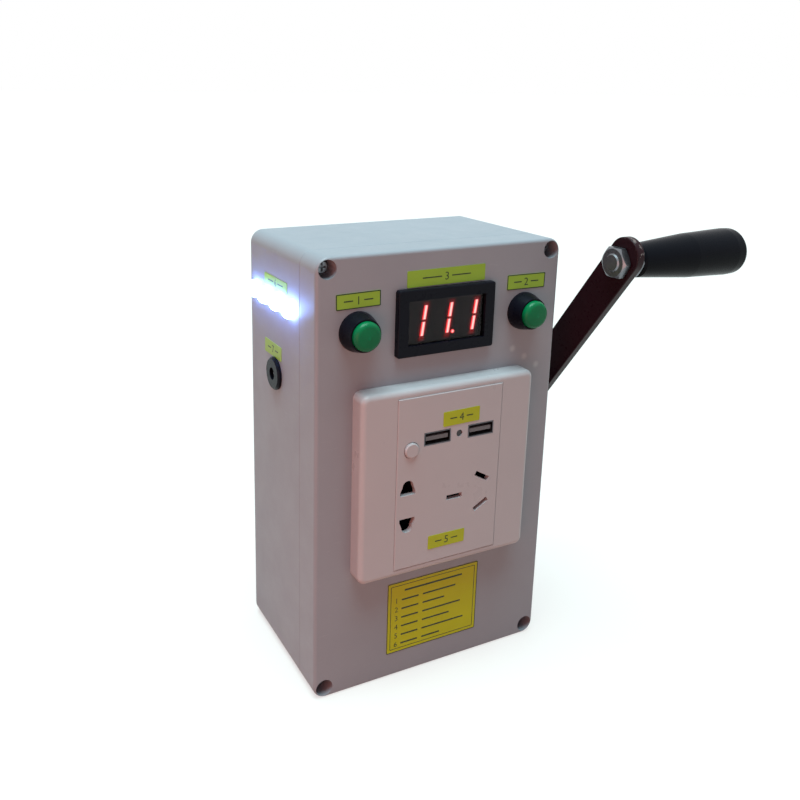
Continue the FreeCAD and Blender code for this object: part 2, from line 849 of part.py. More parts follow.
def push_button(name, sign):
    x = f"{sign} * {button_x}"
    rear = f"{front} + barrel_length"
    seat = "(barrel_length + well_floor)"
    under = f"({seat} + button_travel + stop_gap)"  # the cap's underside at rest
    well = "cap_radius + cap_clear"
    pocket = "stem_radius + pocket_gap"
    stem_hole = "stem_radius + stem_fit"
    top = "barrel_length + bezel_height"
    bezel = turned(
        (x, rear, button_z),
        FRONT,
        [
            ("0", "0"),
            ("barrel_radius", "0"),
            ("barrel_radius", "barrel_length"),
            ("bezel_radius", "barrel_length"),
            ("bezel_radius", "barrel_length + bezel_band"),
            ("bezel_rim_radius", top),
            (well, top),
            (well, seat),
            (pocket, seat),
            (pocket, f"{seat} - spring_pocket"),
            (stem_hole, f"{seat} - spring_pocket"),
            (stem_hole, "barrel_floor"),
            ("0", "barrel_floor"),
        ],
    )
    round_edges(bezel, "bezel_round", bezel_brow)
    node(f"{name}_button_bezel", bezel)
    stem_end = "(barrel_floor + button_travel + stem_room)"
    stem = f"({under} - {stem_end})"
    full = f"(barrel_length + cap_proud - {stem_end})"
    cap = turned(
        (x, f"{rear} - {stem_end}", button_z),
        FRONT,
        [
            ("0", "0"),
            ("stem_radius", "0"),
            ("stem_radius", stem),
            ("cap_radius", stem),
            ("cap_radius", f"{full} - cap_cone"),
            ("0", full),
        ],
    )
    round_edges(cap, "cap_round", button_brow)
    node(f"{name}_button_cap", cap)
    at = (x, f"{front} + wall + button_nut_height", button_z)
    ring = nut(at, "button_nut_flats", "button_nut_height", "barrel_radius", FRONT)
    node(f"{name}_button_nut", ring)
    blades = []
    for end in (-1, 1):
        blade_x = f"{x} + {end} * blade_pitch / 2 - blade_wide / 2"
        at = (blade_x, rear, f"{button_z} - blade_thick / 2")
        blades.append(block(at, "blade_wide", "blade_long", "blade_thick"))
    node(f"{name}_button_blades", group(*blades))
    middle = size("stem_radius") + size("pocket_gap") / 2
    length = size("spring_pocket") + size("button_travel") + size("stop_gap")
    spring = feature(coil_spring(middle, length, size("spring_wire")))
    place(spring, (x, f"{front} + spring_pocket - well_floor", button_z), FRONT)
    node(f"{name}_button_spring", spring)


def button_brow(edge, bounds):
    """The rim where the cap's side meets its slightly coned front."""
    box = edge.BoundBox
    wide = box.XLength > 0.95 * bounds.XLength
    return wide and box.ZLength < 0.01 and box.ZMin > bounds.ZMin + 0.93 * bounds.ZLength


def bezel_brow(edge, bounds):
    """The bend between the bezel's band and its cone, half a band above the lid at least."""
    box = edge.BoundBox
    wide = box.XLength > 0.98 * bounds.XLength
    return wide and box.ZLength < 0.01 and box.ZMin > size("barrel_length") + size("bezel_band") / 2


def coil_spring(radius, length, wire):
    """A coil spring from z = 0 to the given length, its wire lofted through hexagons."""
    rise = length - 2 * wire
    sections = []
    for i in range(SPRING_COILS * SPRING_STEPS + 1):
        turn = 2 * math.pi * i / SPRING_STEPS
        height = wire + rise * i / (SPRING_COILS * SPRING_STEPS)
        corners = []
        for k in range(6):
            around = math.pi * k / 3
            out = radius + wire * math.cos(around)
            up = height + wire * math.sin(around)
            corners.append(Vector(out * math.cos(turn), out * math.sin(turn), up))
        sections.append(Part.makePolygon(corners + corners[:1]))
    return Part.makeLoft(sections, True, True)


# ---- wall-socket module: yoke and body behind, frame and insert in front

pins_z = f"({socket_z} - pins_below)"
two_pin_x = f"({TWO_PIN_AT} * insert_width)"
three_pin_x = f"({THREE_PIN_AT} * insert_width)"
usb_left_x = f"({USB_LEFT_AT} * insert_width)"
usb_right_x = f"({USB_RIGHT_AT} * insert_width)"
indicator_x = f"(({USB_LEFT_AT} + {USB_RIGHT_AT}) / 2 * insert_width)"
usb_button_x = f"({USB_BUTTON_AT} * insert_width)"
face = "(plate_proud + insert_proud)"
pocket_end = f"({front} - yoke_thick + pocket_depth)"
board_face = f"({front} - {face} + usb_length)"


def two_pin_hole(start, depth):
    """Both holes of a two-pole outlet: a flat pin's slot that widens into a round pin's hole."""
    holes = []
    for sign in (-1, 1):
        near = f"{pins_z} + {sign} * flat_pin_edge"
        centre = f"{pins_z} + {sign} * (round_pin_end - round_pin_radius)"
        turn = FRONT if sign > 0 else FRONT.multiply(Rotation(Vector(0, 0, 1), 180))
        reach = "(round_pin_end - round_pin_radius - flat_pin_edge)"
        taper = [
            ("0", "0"),
            ("2 * flat_pin_half", "0"),
            ("2 * flat_pin_half", "flat_pin_high"),
            ("flat_pin_half + round_pin_radius", reach),
            ("flat_pin_half - round_pin_radius", reach),
            ("0", "flat_pin_high"),
        ]
        holes.append(padded((f"{two_pin_x} - {sign} * flat_pin_half", start, near), turn, taper, depth))
        holes.append(rod((two_pin_x, start, centre), "round_pin_radius", depth, FRONT))
    return holes


def slot_box(x, z, angle, length, width, start, depth):
    """A box centred on (x, z), turned by angle in the front's plane, from start to the front."""
    made = doc.addObject("Part::Box", "slot")
    bind(made, Length=length, Width=width, Height=depth)
    low_x = f"{x} - ({length}) / 2 * cos({angle}) + ({width}) / 2 * sin({angle})"
    low_z = f"{z} - ({length}) / 2 * sin({angle}) - ({width}) / 2 * cos({angle})"
    place(made, (low_x, start, low_z), FRONT.multiply(Rotation(Vector(0, 0, 1), angle)))
    return made


three_pin_slots = [
    (f"{three_pin_x} - earth_offset", pins_z, 0),
    (f"{three_pin_x} + line_offset_x", f"{pins_z} + line_offset_z", -30),
    (f"{three_pin_x} + line_offset_x", f"{pins_z} - line_offset_z", 30),
]


def socket_frame():
    part = body(("0", front, socket_z), FRONT)
    add_box(part, centred("plate_size", "plate_size", "0"), "plate_size", "plate_size", "plate_proud")
    round_edges(part, "frame_corner", along_z)
    round_edges(part, "frame_round", on_top)
    room = "plate_size - 2 * frame_wall"
    cut_box(part, centred(room, room, "0"), room, room, "plate_proud - frame_wall")
    wide = "insert_width + loose_fit"
    high = "insert_height + loose_fit"
    cut_box(part, centred(wide, high, "0"), wide, high, "plate_proud")
    node("socket_frame", part)


def socket_insert():
    part = body(("0", front, socket_z), FRONT)
    deep = f"{face} - yoke_thick"
    add_box(
        part, centred("insert_width", "insert_height", "yoke_thick"), "insert_width", "insert_height", deep
    )
    round_edges(part, "insert_round", on_top)
    wide = "insert_width - 2 * insert_wall"
    high = "insert_height - 2 * insert_wall"
    cut_box(part, centred(wide, high, "yoke_thick"), wide, high, f"{deep} - insert_face")
    start = f"{front} - yoke_thick + overcut"
    long = f"{deep} + 2 * overcut"
    cuts = two_pin_hole(start, long)
    for x, z, angle in three_pin_slots:
        cuts.append(slot_box(x, z, angle, "slot_length", "slot_width", start, long))
    for x in (usb_left_x, usb_right_x):
        low_x = f"{x} - usb_width / 2 - window_gap"
        low_z = f"{socket_z} + usb_above - usb_height / 2 - window_gap"
        wide = "usb_width + 2 * window_gap"
        high = "usb_height + 2 * window_gap"
        cuts.append(block((low_x, f"{front} - {face} - overcut", low_z), wide, long, high))
    at = (indicator_x, start, f"{socket_z} + usb_above")
    cuts.append(rod(at, "indicator_radius + fixed_fit", long, FRONT))
    at = (usb_button_x, start, f"{socket_z} + usb_button_above")
    cuts.append(rod(at, "usb_button_radius + usb_button_gap", long, FRONT))
    node("socket_insert", cut(part, *cuts))


def socket_housing():
    part = body(("0", front, socket_z), FRONT)
    yoke = "plate_size - 2 * frame_wall - 2 * yoke_clear"
    add_box(part, centred(yoke, yoke, "0"), yoke, yoke, "yoke_thick")
    corner = centred(body_width, "body_height", "-body_depth")
    add_box(part, corner, body_width, "body_height", "body_depth")
    for sign in (-1, 1):
        at = (f"{sign} * yoke_screw_x", "0", "0")
        cut_rod(part, at, "screw_radius + fixed_fit", "yoke_thick")
    board = f"2 * {board_half} + loose_fit"
    high = "usb_board_height + loose_fit"
    shelf = "yoke_thick - (usb_length - (plate_proud + insert_proud) + yoke_thick) - usb_board_thick"
    low = f"usb_above - ({high}) / 2"
    deep = f"yoke_thick - ({shelf})"
    cut_box(part, (f"-({board}) / 2", low, shelf), board, high, deep)
    behind = "-body_depth + body_floor"
    cut_box(
        part,
        (f"-({board}) / 2 + board_ledge", f"{low} + board_ledge", behind),
        f"{board} - 2 * board_ledge",
        f"{high} - 2 * board_ledge",
        "body_depth",
    )
    for sign in (-1, 1):
        middle = f"{sign} * (flat_pin_edge + round_pin_end) / 2 - pins_below"
        at = (f"{two_pin_x} - pocket_half", f"{middle} - pocket_half", "yoke_thick - pocket_depth")
        cut_box(part, at, "2 * pocket_half", "2 * pocket_half", "pocket_depth")
    pockets = []
    for x, z, angle in three_pin_slots:
        long = "slot_length + slot_room"
        wide = "slot_width + slot_room"
        pockets.append(slot_box(x, z, angle, long, wide, pocket_end, "pocket_depth + overcut"))
    node("socket_housing", cut(part, *pockets))


def socket_contacts():
    """Pairs of brass leaves that grip the pins, standing on their pockets' floors."""
    leaves = []
    for x, z, angle in three_pin_slots:
        for face_sign in (-1, 1):
            off = f"{face_sign} * (slot_width / 2 + leaf_gap + leaf_thick / 2)"
            leaf_x = f"{x} - {off} * sin({angle})"
            leaf_z = f"{z} + {off} * cos({angle})"
            leaf = slot_box(leaf_x, leaf_z, angle, "slot_length", "leaf_thick", pocket_end, "leaf_deep")
            leaves.append(leaf)
    for sign in (-1, 1):
        for face_sign in (-1, 1):
            x = f"{two_pin_x} + {face_sign} * (pocket_half - leaf_thick / 2 - leaf_gap)"
            z = f"{pins_z} + {sign} * (flat_pin_edge + round_pin_end) / 2"
            leaf = slot_box(x, z, 90, "leaf_wide", "leaf_thick", pocket_end, "leaf_deep")
            leaves.append(leaf)
    node("socket_contacts", group(*leaves))


def socket_screws():
    at = f"{front} - yoke_thick"
    made = [machine_screw((f"{sign} * yoke_screw_x", at, socket_z), FRONT) for sign in (-1, 1)]
    node("socket_screws", group(*made))


def usb_sockets():
    shells = []
    tongues = []
    mouth = f"{front} - {face}"
    for x in (usb_left_x, usb_right_x):
        low_z = f"{socket_z} + usb_above - usb_height / 2"
        outer = block((f"{x} - usb_width / 2", mouth, low_z), "usb_width", "usb_length", "usb_height")
        inner = block(
            (f"{x} - usb_width / 2 + usb_shell", mouth, f"{low_z} + usb_shell"),
            "usb_width - 2 * usb_shell",
            "usb_length",
            "usb_height - 2 * usb_shell",
        )
        shells.append(cut(outer, inner))
        root = "(usb_length - usb_tongue_length)"
        tongue_low = f"{socket_z} + usb_above - usb_tongue_thick / 2"
        back = block(
            (f"{x} - usb_width / 2 + usb_shell", f"{mouth} + usb_tongue_length", f"{low_z} + usb_shell"),
            "usb_width - 2 * usb_shell",
            root,
            "usb_height - 2 * usb_shell",
        )
        blade = block(
            (f"{x} - tongue_width / 2", f"{mouth} + tongue_back", tongue_low),
            "tongue_width",
            "usb_tongue_length",
            "usb_tongue_thick",
        )
        tongues.append(join(back, blade))
    node("usb_shells", group(*shells))
    node("usb_tongues", group(*tongues))


def usb_board():
    """The board behind the USB sockets, with the button's small switch on it."""
    sheet_part = block(
        (f"-{board_half}", board_face, f"{socket_z} + usb_above - usb_board_height / 2"),
        f"2 * {board_half}",
        "usb_board_thick",
        "usb_board_height",
    )
    switch = block(
        (
            f"{usb_button_x} - switch_size / 2",
            f"{board_face} - switch_height",
            f"{socket_z} + usb_button_above - switch_size / 2",
        ),
        "switch_size",
        "switch_height",
        "switch_size",
    )
    node("usb_board", join(sheet_part, switch))


def usb_indicator():
    at = (indicator_x, board_face, f"{socket_z} + usb_above")
    node("usb_indicator", rod(at, "indicator_radius", "usb_length - indicator_back", FRONT))


def usb_button_cap():
    """A cap whose stem ends just clear of its switch at full travel."""
    lift = "(switch_height + usb_button_travel + leaf_gap)"
    stem = f"(usb_length - {face} + yoke_thick - {lift})"
    whole = f"(usb_length + usb_button_proud - {lift})"
    part = turned(
        (usb_button_x, f"{board_face} - {lift}", f"{socket_z} + usb_button_above"),
        FRONT,
        [
            ("0", "0"),
            ("usb_stem_radius", "0"),
            ("usb_stem_radius", stem),
            ("usb_button_radius", stem),
            ("usb_button_radius", f"{whole} - usb_button_edge"),
            ("usb_button_radius - usb_button_edge", whole),
            ("0", whole),
        ],
    )
    node("usb_button_cap", part)


# ---- lamp row and DC jack on the left side


def lamp_row():
    lamps = []
    height = "(lamp_flange + wall + lamp_proud)"
    for i in range(4):
        at = (f"-{side_inside} + lamp_flange", f"{lamp_y} + ({i} - 1.5) * {lamp_pitch}", lamp_z)
        lamp = turned(
            at,
            LEFT,
            [
                ("0", "0"),
                ("lamp_flange_radius", "0"),
                ("lamp_flange_radius", "lamp_flange"),
                ("lamp_radius", "lamp_flange"),
                ("lamp_radius", height),
                ("0", height),
            ],
        )
        round_edges(lamp, "lamp_dome", on_top)
        lamps.append(lamp)
    node("lamp_leds", group(*lamps))
    long = f"(3 * {lamp_pitch} + 2 * lamp_board_end)"
    corner = (
        f"-{side_inside} + lamp_flange",
        f"{lamp_y} - {long} / 2",
        f"{lamp_z} - lamp_board_high / 2",
    )
    board = block(corner, "board_thick", long, "lamp_board_high")
    node("lamp_board", board)


def dc_jack():
    rear = f"-{side} + jack_barrel"
    full = "(jack_barrel + jack_flange)"
    floor = f"({full} - jack_bore_depth)"
    barrel = turned(
        (rear, jack_y, jack_z),
        LEFT,
        [
            ("0", "0"),
            ("jack_barrel_radius", "0"),
            ("jack_barrel_radius", "jack_barrel"),
            ("jack_flange_radius", "jack_barrel"),
            ("jack_flange_radius", f"{full} - jack_round"),
            ("jack_flange_radius - jack_round", full),
            ("jack_bore_radius", full),
            ("jack_bore_radius", floor),
            ("0", floor),
        ],
    )
    node("dc_jack_body", barrel)
    pin = turned(
        (f"{rear} - {floor}", jack_y, jack_z),
        LEFT,
        [
            ("0", "0"),
            ("jack_pin_radius", "0"),
            ("jack_pin_radius", "jack_pin_long - jack_pin_radius / 2"),
            ("jack_pin_radius / 2", "jack_pin_long"),
            ("0", "jack_pin_long"),
        ],
    )
    node("dc_jack_pin", pin)
    at = (f"-{side_inside} + jack_nut_height", jack_y, jack_z)
    node("dc_jack_nut", nut(at, "jack_nut_flats", "jack_nut_height", "jack_barrel_radius", LEFT))


# ---- crank


def crank_bushing():
    at = (outer_plate, shaft_y, shaft_z)
    through = "(plate_thick + wall)"
    bore = "shaft_radius + running_fit"
    part = turned(
        at,
        RIGHT,
        [
            (bore, "0"),
            ("bush_radius", "0"),
            ("bush_radius", through),
            ("bush_flange_radius", through),
            ("bush_flange_radius", f"{through} + bush_flange"),
            (bore, f"{through} + bush_flange"),
        ],
    )
    node("crank_bushing", part)


def crank_shaft():
    """It ends flush with the arm, which is screwed on and locked by the nut behind it."""
    reach = f"{arm_out} - {inner_plate}"
    part = body((inner_plate, shaft_y, shaft_z), RIGHT)
    add_rod(part, ORIGIN, "shaft_radius", reach)
    node("crank_shaft", part)


def crank_hub():
    start = f"{side} + bush_flange + hub_clear"
    part = body((start, shaft_y, shaft_z), RIGHT)
    length = "arm_standoff - bush_flange - hub_clear - nut_height"
    add_rod(part, ORIGIN, "hub_radius", length)
    cut_rod(part, ORIGIN, "shaft_radius + fixed_fit", length)
    node("crank_hub", part)


def crank_arm():
    """A flat bar with two round ends; local x runs from the shaft to the handle."""
    turn = Rotation(Vector(1, 0, 0), size("arm_angle")).multiply(RIGHT)
    part = body((arm_in, shaft_y, shaft_z), turn)
    add_box(part, ("0", "-arm_width / 2", "0"), "arm_length + arm_overhang", "arm_width", "arm_thick")
    add_rod(part, ORIGIN, "arm_width / 2", "arm_thick")
    add_rod(part, ("arm_length + arm_overhang", "0", "0"), "arm_width / 2", "arm_thick")
    for x in ("0", "arm_length"):
        cut_rod(part, (x, "0", "0"), "shaft_radius + fixed_fit", "arm_thick")
    round_edges(part, "arm_round", bar_rim)
    node("crank_arm", part)


def bar_rim(edge, bounds):
    """The long edges of both faces and the round ends, but not the holes."""
    box = edge.BoundBox
    flat = box.ZLength < 0.001
    hole = box.XLength < 0.6 * bounds.YLength and box.YLength < 0.6 * bounds.YLength
    return flat and not hole


def crank_nuts():
    """Both behind the arm: one locks it on the shaft, the other holds the handle on it."""
    made = []
    for y, z in ((shaft_y, shaft_z), (handle_y, handle_z)):
        at = (f"{arm_in} - nut_height", y, z)
        made.append(nut(at, "nut_flats", "nut_height", "shaft_radius", RIGHT))
    node("crank_nuts", group(*made))


handle_start = f"{arm_in} - nut_height - thread_stub"
threaded = "(arm_thick + nut_height + thread_stub)"
groove_low = f"({threaded} + collar_length + journal_length - ring_from_end - ring_wide)"


def handle_spindle():
    full = f"({threaded} + collar_length + journal_length)"
    groove = "journal_radius - ring_depth"
    part = turned(
        (handle_start, handle_y, handle_z),
        RIGHT,
        [
            ("0", "0"),
            ("shaft_radius - thread_lead", "0"),
            ("shaft_radius", "thread_lead"),
            ("shaft_radius", threaded),
            ("journal_radius", threaded),
            ("journal_radius", groove_low),
            (groove, groove_low),
            (groove, f"{groove_low} + ring_wide"),
            ("journal_radius", f"{groove_low} + ring_wide"),
            ("journal_radius", full),
            ("0", full),
        ],
    )
    collar = six_sided((arm_out, handle_y, handle_z), "nut_flats", "collar_length", RIGHT)
    node("handle_spindle", join(part, collar))


grip_start = f"{arm_out} + collar_length + grip_clear"


def handle_grip():
    bore = "journal_radius + running_fit"
    deep = "(journal_length - grip_clear + bore_room)"
    ring_low = "(journal_length - grip_clear - ring_from_end - ring_wide)"
    part = turned(
        (grip_start, handle_y, handle_z),
        RIGHT,
        [
            (bore, "0"),
            ("grip_near_radius - grip_lead", "0"),
            ("grip_near_radius", "grip_lead"),
            ("grip_mid_radius", "grip_mid"),
            ("grip_far_radius", "grip_far"),
            ("grip_end_width", "grip_length"),
            ("0", "grip_length"),
            ("0", deep),
            (bore, deep),
            (bore, f"{ring_low} + ring_wide"),
            ("ring_radius + fixed_fit", f"{ring_low} + ring_wide"),
            ("ring_radius + fixed_fit", ring_low),
            (bore, ring_low),
        ],
    )
    round_edges(part, "grip_end_radius", on_top)
    node("handle_grip", part)


def grip_retainer():
    """The ring in the grip that runs in the spindle's groove."""
    low = f"{handle_start} + {groove_low} + ring_play"
    at = (low, handle_y, handle_z)
    wide = "ring_wide - 2 * ring_play"
    ring = cut(
        rod(at, "ring_radius", wide, RIGHT),
        rod(at, "journal_radius - ring_depth + running_fit", wide, RIGHT),
    )
    node("grip_retainer", ring)


# ---- gear train: involute teeth, flanks as chords that stay inside the true curve

PRESSURE = math.radians(25)
ADDENDUM = 0.9  # in modules
DEDENDUM = 1.2
FLANK_CHORDS = 3
WEB_HOLES = 6


def gear_root(teeth):
    return size("gear_module") * (teeth / 2 - DEDENDUM)


def gear_outline(teeth, phase):
    """A closed wire of one gear, with a tooth centred on phase (radians from local x)."""
    module = size("gear_module")
    pitch = module * teeth / 2
    base = pitch * math.cos(PRESSURE)
    root = gear_root(teeth)
    tip = pitch + ADDENDUM * module
    half_tooth = math.pi / (2 * teeth) - size("backlash") / (4 * pitch)

    def half_angle(radius):
        spread = math.sqrt(max((radius / base) ** 2 - 1, 0))
        involute = spread - math.atan(spread)
        return half_tooth + math.tan(PRESSURE) - PRESSURE - involute

    low = max(base, root)
    flank = [low + (tip - low) * i / FLANK_CHORDS for i in range(FLANK_CHORDS + 1)]
    if root < low:
        flank.insert(0, root)
    angles = [(radius, half_angle(max(radius, low))) for radius in flank]
    corners = []
    for tooth in range(int(teeth)):
        middle = phase + 2 * math.pi * tooth / teeth
        corners += [(radius, middle - angle) for radius, angle in angles]
        corners += [(radius, middle + angle) for radius, angle in reversed(angles)]
    points = [Vector(r * math.cos(a), r * math.sin(a), 0) for r, a in corners]
    return Part.makePolygon(points + points[:1])


def gear_solid(teeth, phase, width):
    return Part.Face(gear_outline(teeth, phase)).extrude(Vector(0, 0, width))


def round_solid(radius, width):
    return Part.makeCylinder(radius, width)


def crank_gear():
    """A tooth on the line to the idler, a thin web and six round openings."""
    teeth = size("crank_teeth")
    width = size("first_face")
    towards_idler = math.radians(size("first_mesh_angle"))
    bore = size("shaft_radius") + size("fixed_fit")
    rim = gear_root(teeth) - size("gear_rim")
    boss = bore + size("gear_bore_rim")
    gear = gear_solid(teeth, towards_idler, width)
    recess = (width - size("web_thick")) / 2
    ring = round_solid(rim, recess).cut(round_solid(boss, recess))
    gear = gear.cut(ring).cut(ring.translated(Vector(0, 0, width - recess)))
    for i in range(WEB_HOLES):
        angle = 2 * math.pi * i / WEB_HOLES
        hole = round_solid((rim - boss) / 2 - size("web_rim"), width)
        middle = (rim + boss) / 2
        gear = gear.cut(hole.translated(Vector(middle * math.cos(angle), middle * math.sin(angle), 0)))
    made = feature(gear.cut(round_solid(bore, width)))
    place(made, (first_gear_x, shaft_y, shaft_z), RIGHT)
    node("crank_gear", made)


def idler_gear():
    """A gap towards the crank gear on its pinion, a tooth towards the rotor on its wheel."""
    towards_idler = math.radians(size("first_mesh_angle"))
    towards_rotor = math.radians(size("second_mesh_angle"))
    teeth = size("idler_pinion_teeth")
    step = size("gear_gap") + size("second_face")
    face_width = size("first_face")
    phase = towards_idler + math.pi + math.pi / teeth
    pinion = gear_solid(teeth, phase, face_width).translated(Vector(0, 0, step))
    wheel = gear_solid(size("idler_gear_teeth"), towards_rotor, size("second_face"))
    neck = round_solid(gear_root(teeth), step)
    bore = round_solid(size("idler_pin_radius") + size("running_fit"), step + face_width)
    made = feature(wheel.fuse(neck).fuse(pinion).removeSplitter().cut(bore))
    place(made, (second_gear_x, idler_y, idler_z), RIGHT)
    node("idler_gear", made)


def rotor_pinion():
    """A gap towards the idler; a little wider than the wheel it meets."""
    towards_rotor = math.radians(size("second_mesh_angle"))
    teeth = size("rotor_teeth")
    width = size("second_face") + 2 * size("pinion_over")
    small = gear_solid(teeth, towards_rotor + math.pi + math.pi / teeth, width)
    made = feature(small.cut(round_solid(size("rotor_shaft_radius") + size("fixed_fit"), width)))
    place(made, (f"{second_gear_x} - pinion_over", rotor_y, rotor_z), RIGHT)
    node("rotor_pinion", made)


def idler_shaft():
    part = body((inner_plate, idler_y, idler_z), RIGHT)
    add_rod(part, ORIGIN, "idler_pin_radius", f"{side_inside} - {inner_plate}")
    node("idler_shaft", part)


def gearbox_plate(label, x, holes):
    """A steel side plate with the spacer holes and the given (y, z, radius) holes."""
    width = f"{plate_back} - {plate_front}"
    height = f"{plate_high} - {plate_low}"
    part = body((x, plate_front, plate_low), RIGHT)
    add_box(part, ORIGIN, width, height, "plate_thick")
    round_edges(part, "gearbox_round", along_z)
    all_holes = [(y, z, "screw_radius + fixed_fit") for y, z in spacer_spots] + holes
    for y, z, radius in all_holes:
        cut_rod(part, (f"{y} - {plate_front}", f"{z} - {plate_low}", "0"), radius, "plate_thick")
    node(label, part)


def gearbox_frame():
    pin = (idler_y, idler_z, "idler_pin_radius + fixed_fit")
    bush = (shaft_y, shaft_z, "bush_radius + fixed_fit")
    gearbox_plate("gearbox_plate_outer", outer_plate, [bush, pin])
    gearbox_plate(
        "gearbox_plate_inner",
        inner_plate,
        [
            (shaft_y, shaft_z, "shaft_radius + running_fit"),
            pin,
            (rotor_y, rotor_z, "can_boss_radius + fixed_fit"),
        ],
    )
    length = f"{outer_plate} - {plate_inside}"
    made = []
    for y, z in spacer_spots:
        at = (plate_inside, y, z)
        bore = rod(at, "screw_radius + fixed_fit", length, RIGHT)
        made.append(cut(rod(at, "spacer_radius", length, RIGHT), bore))
    node("gearbox_spacers", group(*made))


# ---- generator: can on the inner plate, closed by an end cap


def generator():
    can_end = f"{inner_plate} - can_length"
    inside = "can_radius - can_wall"
    can = turned(
        (can_end, rotor_y, rotor_z),
        RIGHT,
        [
            (inside, "0"),
            ("can_radius", "0"),
            ("can_radius", "can_length"),
            ("can_boss_radius", "can_length"),
            ("can_boss_radius", "can_length + plate_thick"),
            ("rotor_shaft_radius + running_fit", "can_length + plate_thick"),
            ("rotor_shaft_radius + running_fit", "can_length - can_wall"),
            (inside, "can_length - can_wall"),
        ],
    )
    node("generator_can", can)
    cap = turned(
        (f"{can_end} - end_cap_thick", rotor_y, rotor_z),
        RIGHT,
        [
            ("rotor_shaft_radius + running_fit", "0"),
            ("can_radius", "0"),
            ("can_radius", "end_cap_thick"),
            ("cap_boss_radius", "end_cap_thick"),
            ("cap_boss_radius", "end_cap_thick + cap_boss"),
            ("rotor_shaft_radius + running_fit", "end_cap_thick + cap_boss"),
        ],
    )
    node("generator_end_cap", cap)
    magnet_x = f"{can_end} + (can_length - magnet_length) / 2"
    magnets = []
    for sign in (1, -1):
        arcs = []
        for radius in (f"{inside} - fixed_fit", f"{inside} - magnet_thick"):
            arc = rod((magnet_x, rotor_y, rotor_z), radius, "magnet_length")
            bind(arc, Angle="magnet_angle")
            spin = size("magnet_angle") / -2 + (0 if sign > 0 else 180)
            place(arc, (magnet_x, rotor_y, rotor_z), RIGHT.multiply(Rotation(Vector(0, 0, 1), spin)))
            arcs.append(arc)
        magnets.append(cut(*arcs))
    node("generator_magnets", group(*magnets))
    shaft = body((f"{can_end} - end_cap_thick - shaft_out", rotor_y, rotor_z), RIGHT)
    length = f"{second_gear_x} + second_face - ({can_end}) + end_cap_thick + 2 * shaft_out"
    add_rod(shaft, ORIGIN, "rotor_shaft_radius", length)
    node("rotor_shaft", shaft)
    core_radius = f"{inside} - magnet_thick - air_gap"
    core = body((f"{can_end} + (can_length - armature_length) / 2", rotor_y, rotor_z), RIGHT)
    add_rod(core, ORIGIN, core_radius, "armature_length")
    cut_rod(core, ORIGIN, "rotor_shaft_radius + fixed_fit", "armature_length")
    corner = (f"{core_radius} - slot_deep", "-slot_wide / 2", "0")
    slot = cut_box(core, corner, "slot_deep", "slot_wide", "armature_length")
    doc.recompute()
    pattern = core.newObject("PartDesign::PolarPattern", "slots")
    pattern.Originals = [slot]
    axis = next(o for o in core.Origin.OriginFeatures if o.Role == "Z_Axis")
    pattern.Axis = (axis, [""])
    pattern.Angle = 360
    bind(pattern, Occurrences="armature_slots")
    core.Tip = pattern
    node("rotor_armature", core)


# ---- battery and inverter


def battery():
    bottom = "holder_bottom + holder_wall"
    high = f"({rotor_z} - can_radius - battery_clear - holder_bottom)"
    cell = f"({high} - 2 * holder_wall - 2 * cell_gap - cell_button)"
    cell_y = f"{back_inside} - holder_wall - cell_gap - cell_radius"
    cells = []
    for i in range(3):
        x = f"({i} - 1) * cell_pitch"
        part = body((x, cell_y, bottom), UP)
        add_rod(part, ORIGIN, "cell_radius", cell)
        add_rod(part, ("0", "0", cell), "cell_button_radius", "cell_button")
        cells.append(part)
    node("battery_cells", group(*cells))
    wide = "3 * cell_pitch + 2 * holder_wall"
    deep = "cell_radius + holder_lip"
    holder = body((f"-({wide}) / 2", f"{back_inside} - ({deep})", "holder_bottom"), UP)
    add_box(holder, ORIGIN, wide, deep, high)
    cut_box(
        holder,
        ("holder_wall", "0", "holder_wall"),
        f"{wide} - 2 * holder_wall",
        f"{deep} - holder_wall",
        f"{high} - 2 * holder_wall",
    )
    node("battery_holder", holder)


def inverter():
    board = body(("-inverter_width / 2", "inverter_y + board_thick", "inverter_low"), FRONT)
    add_box(board, ORIGIN, "inverter_width", "inverter_height", "board_thick")
    for x, z in board_spots:
        at = (f"inverter_width / 2 + {x}", f"{z} - inverter_low", "0")
        cut_rod(board, at, "screw_radius + fixed_fit", "board_thick")
    node("inverter_board", board)
    core_at = ("transformer_x - core_width / 2", "inverter_y", "parts_z - core_height / 2")
    core = body(core_at, FRONT)
    depth = "2 * winding_radius"
    low = f"({depth} - core_depth) / 2"
    add_box(core, ("0", "0", low), "core_width", "core_height", "core_depth")
    room = "core_width - 2 * core_limb"
    cut_box(core, ("core_limb", "core_limb", low), room, "core_height - 2 * core_limb", "core_depth")
    winding_at = ("transformer_x", "inverter_y - winding_radius", "parts_z - core_height / 2 + core_limb")
    winding = rod(winding_at, "winding_radius", "core_height - 2 * core_limb")
    node("inverter_transformer", group(core, winding))
    sink = body(("sink_x - sink_width / 2", "inverter_y", "parts_z - sink_height / 2"), FRONT)
    add_box(sink, ORIGIN, "sink_width", "sink_height", "sink_base")
    fin = add_box(sink, ("0", "0", "0"), "fin_thick", "sink_height", "sink_depth")
    doc.recompute()
    fins = sink.newObject("PartDesign::LinearPattern", "fins")
    fins.Originals = [fin]
    axis = next(o for o in sink.Origin.OriginFeatures if o.Role == "X_Axis")
    fins.Direction = (axis, [""])
    bind(fins, Length="sink_width - fin_thick")
    fins.Occurrences = FIN_COUNT
    sink.Tip = fins
    node("inverter_heatsink", sink)


# ---- build, check and write

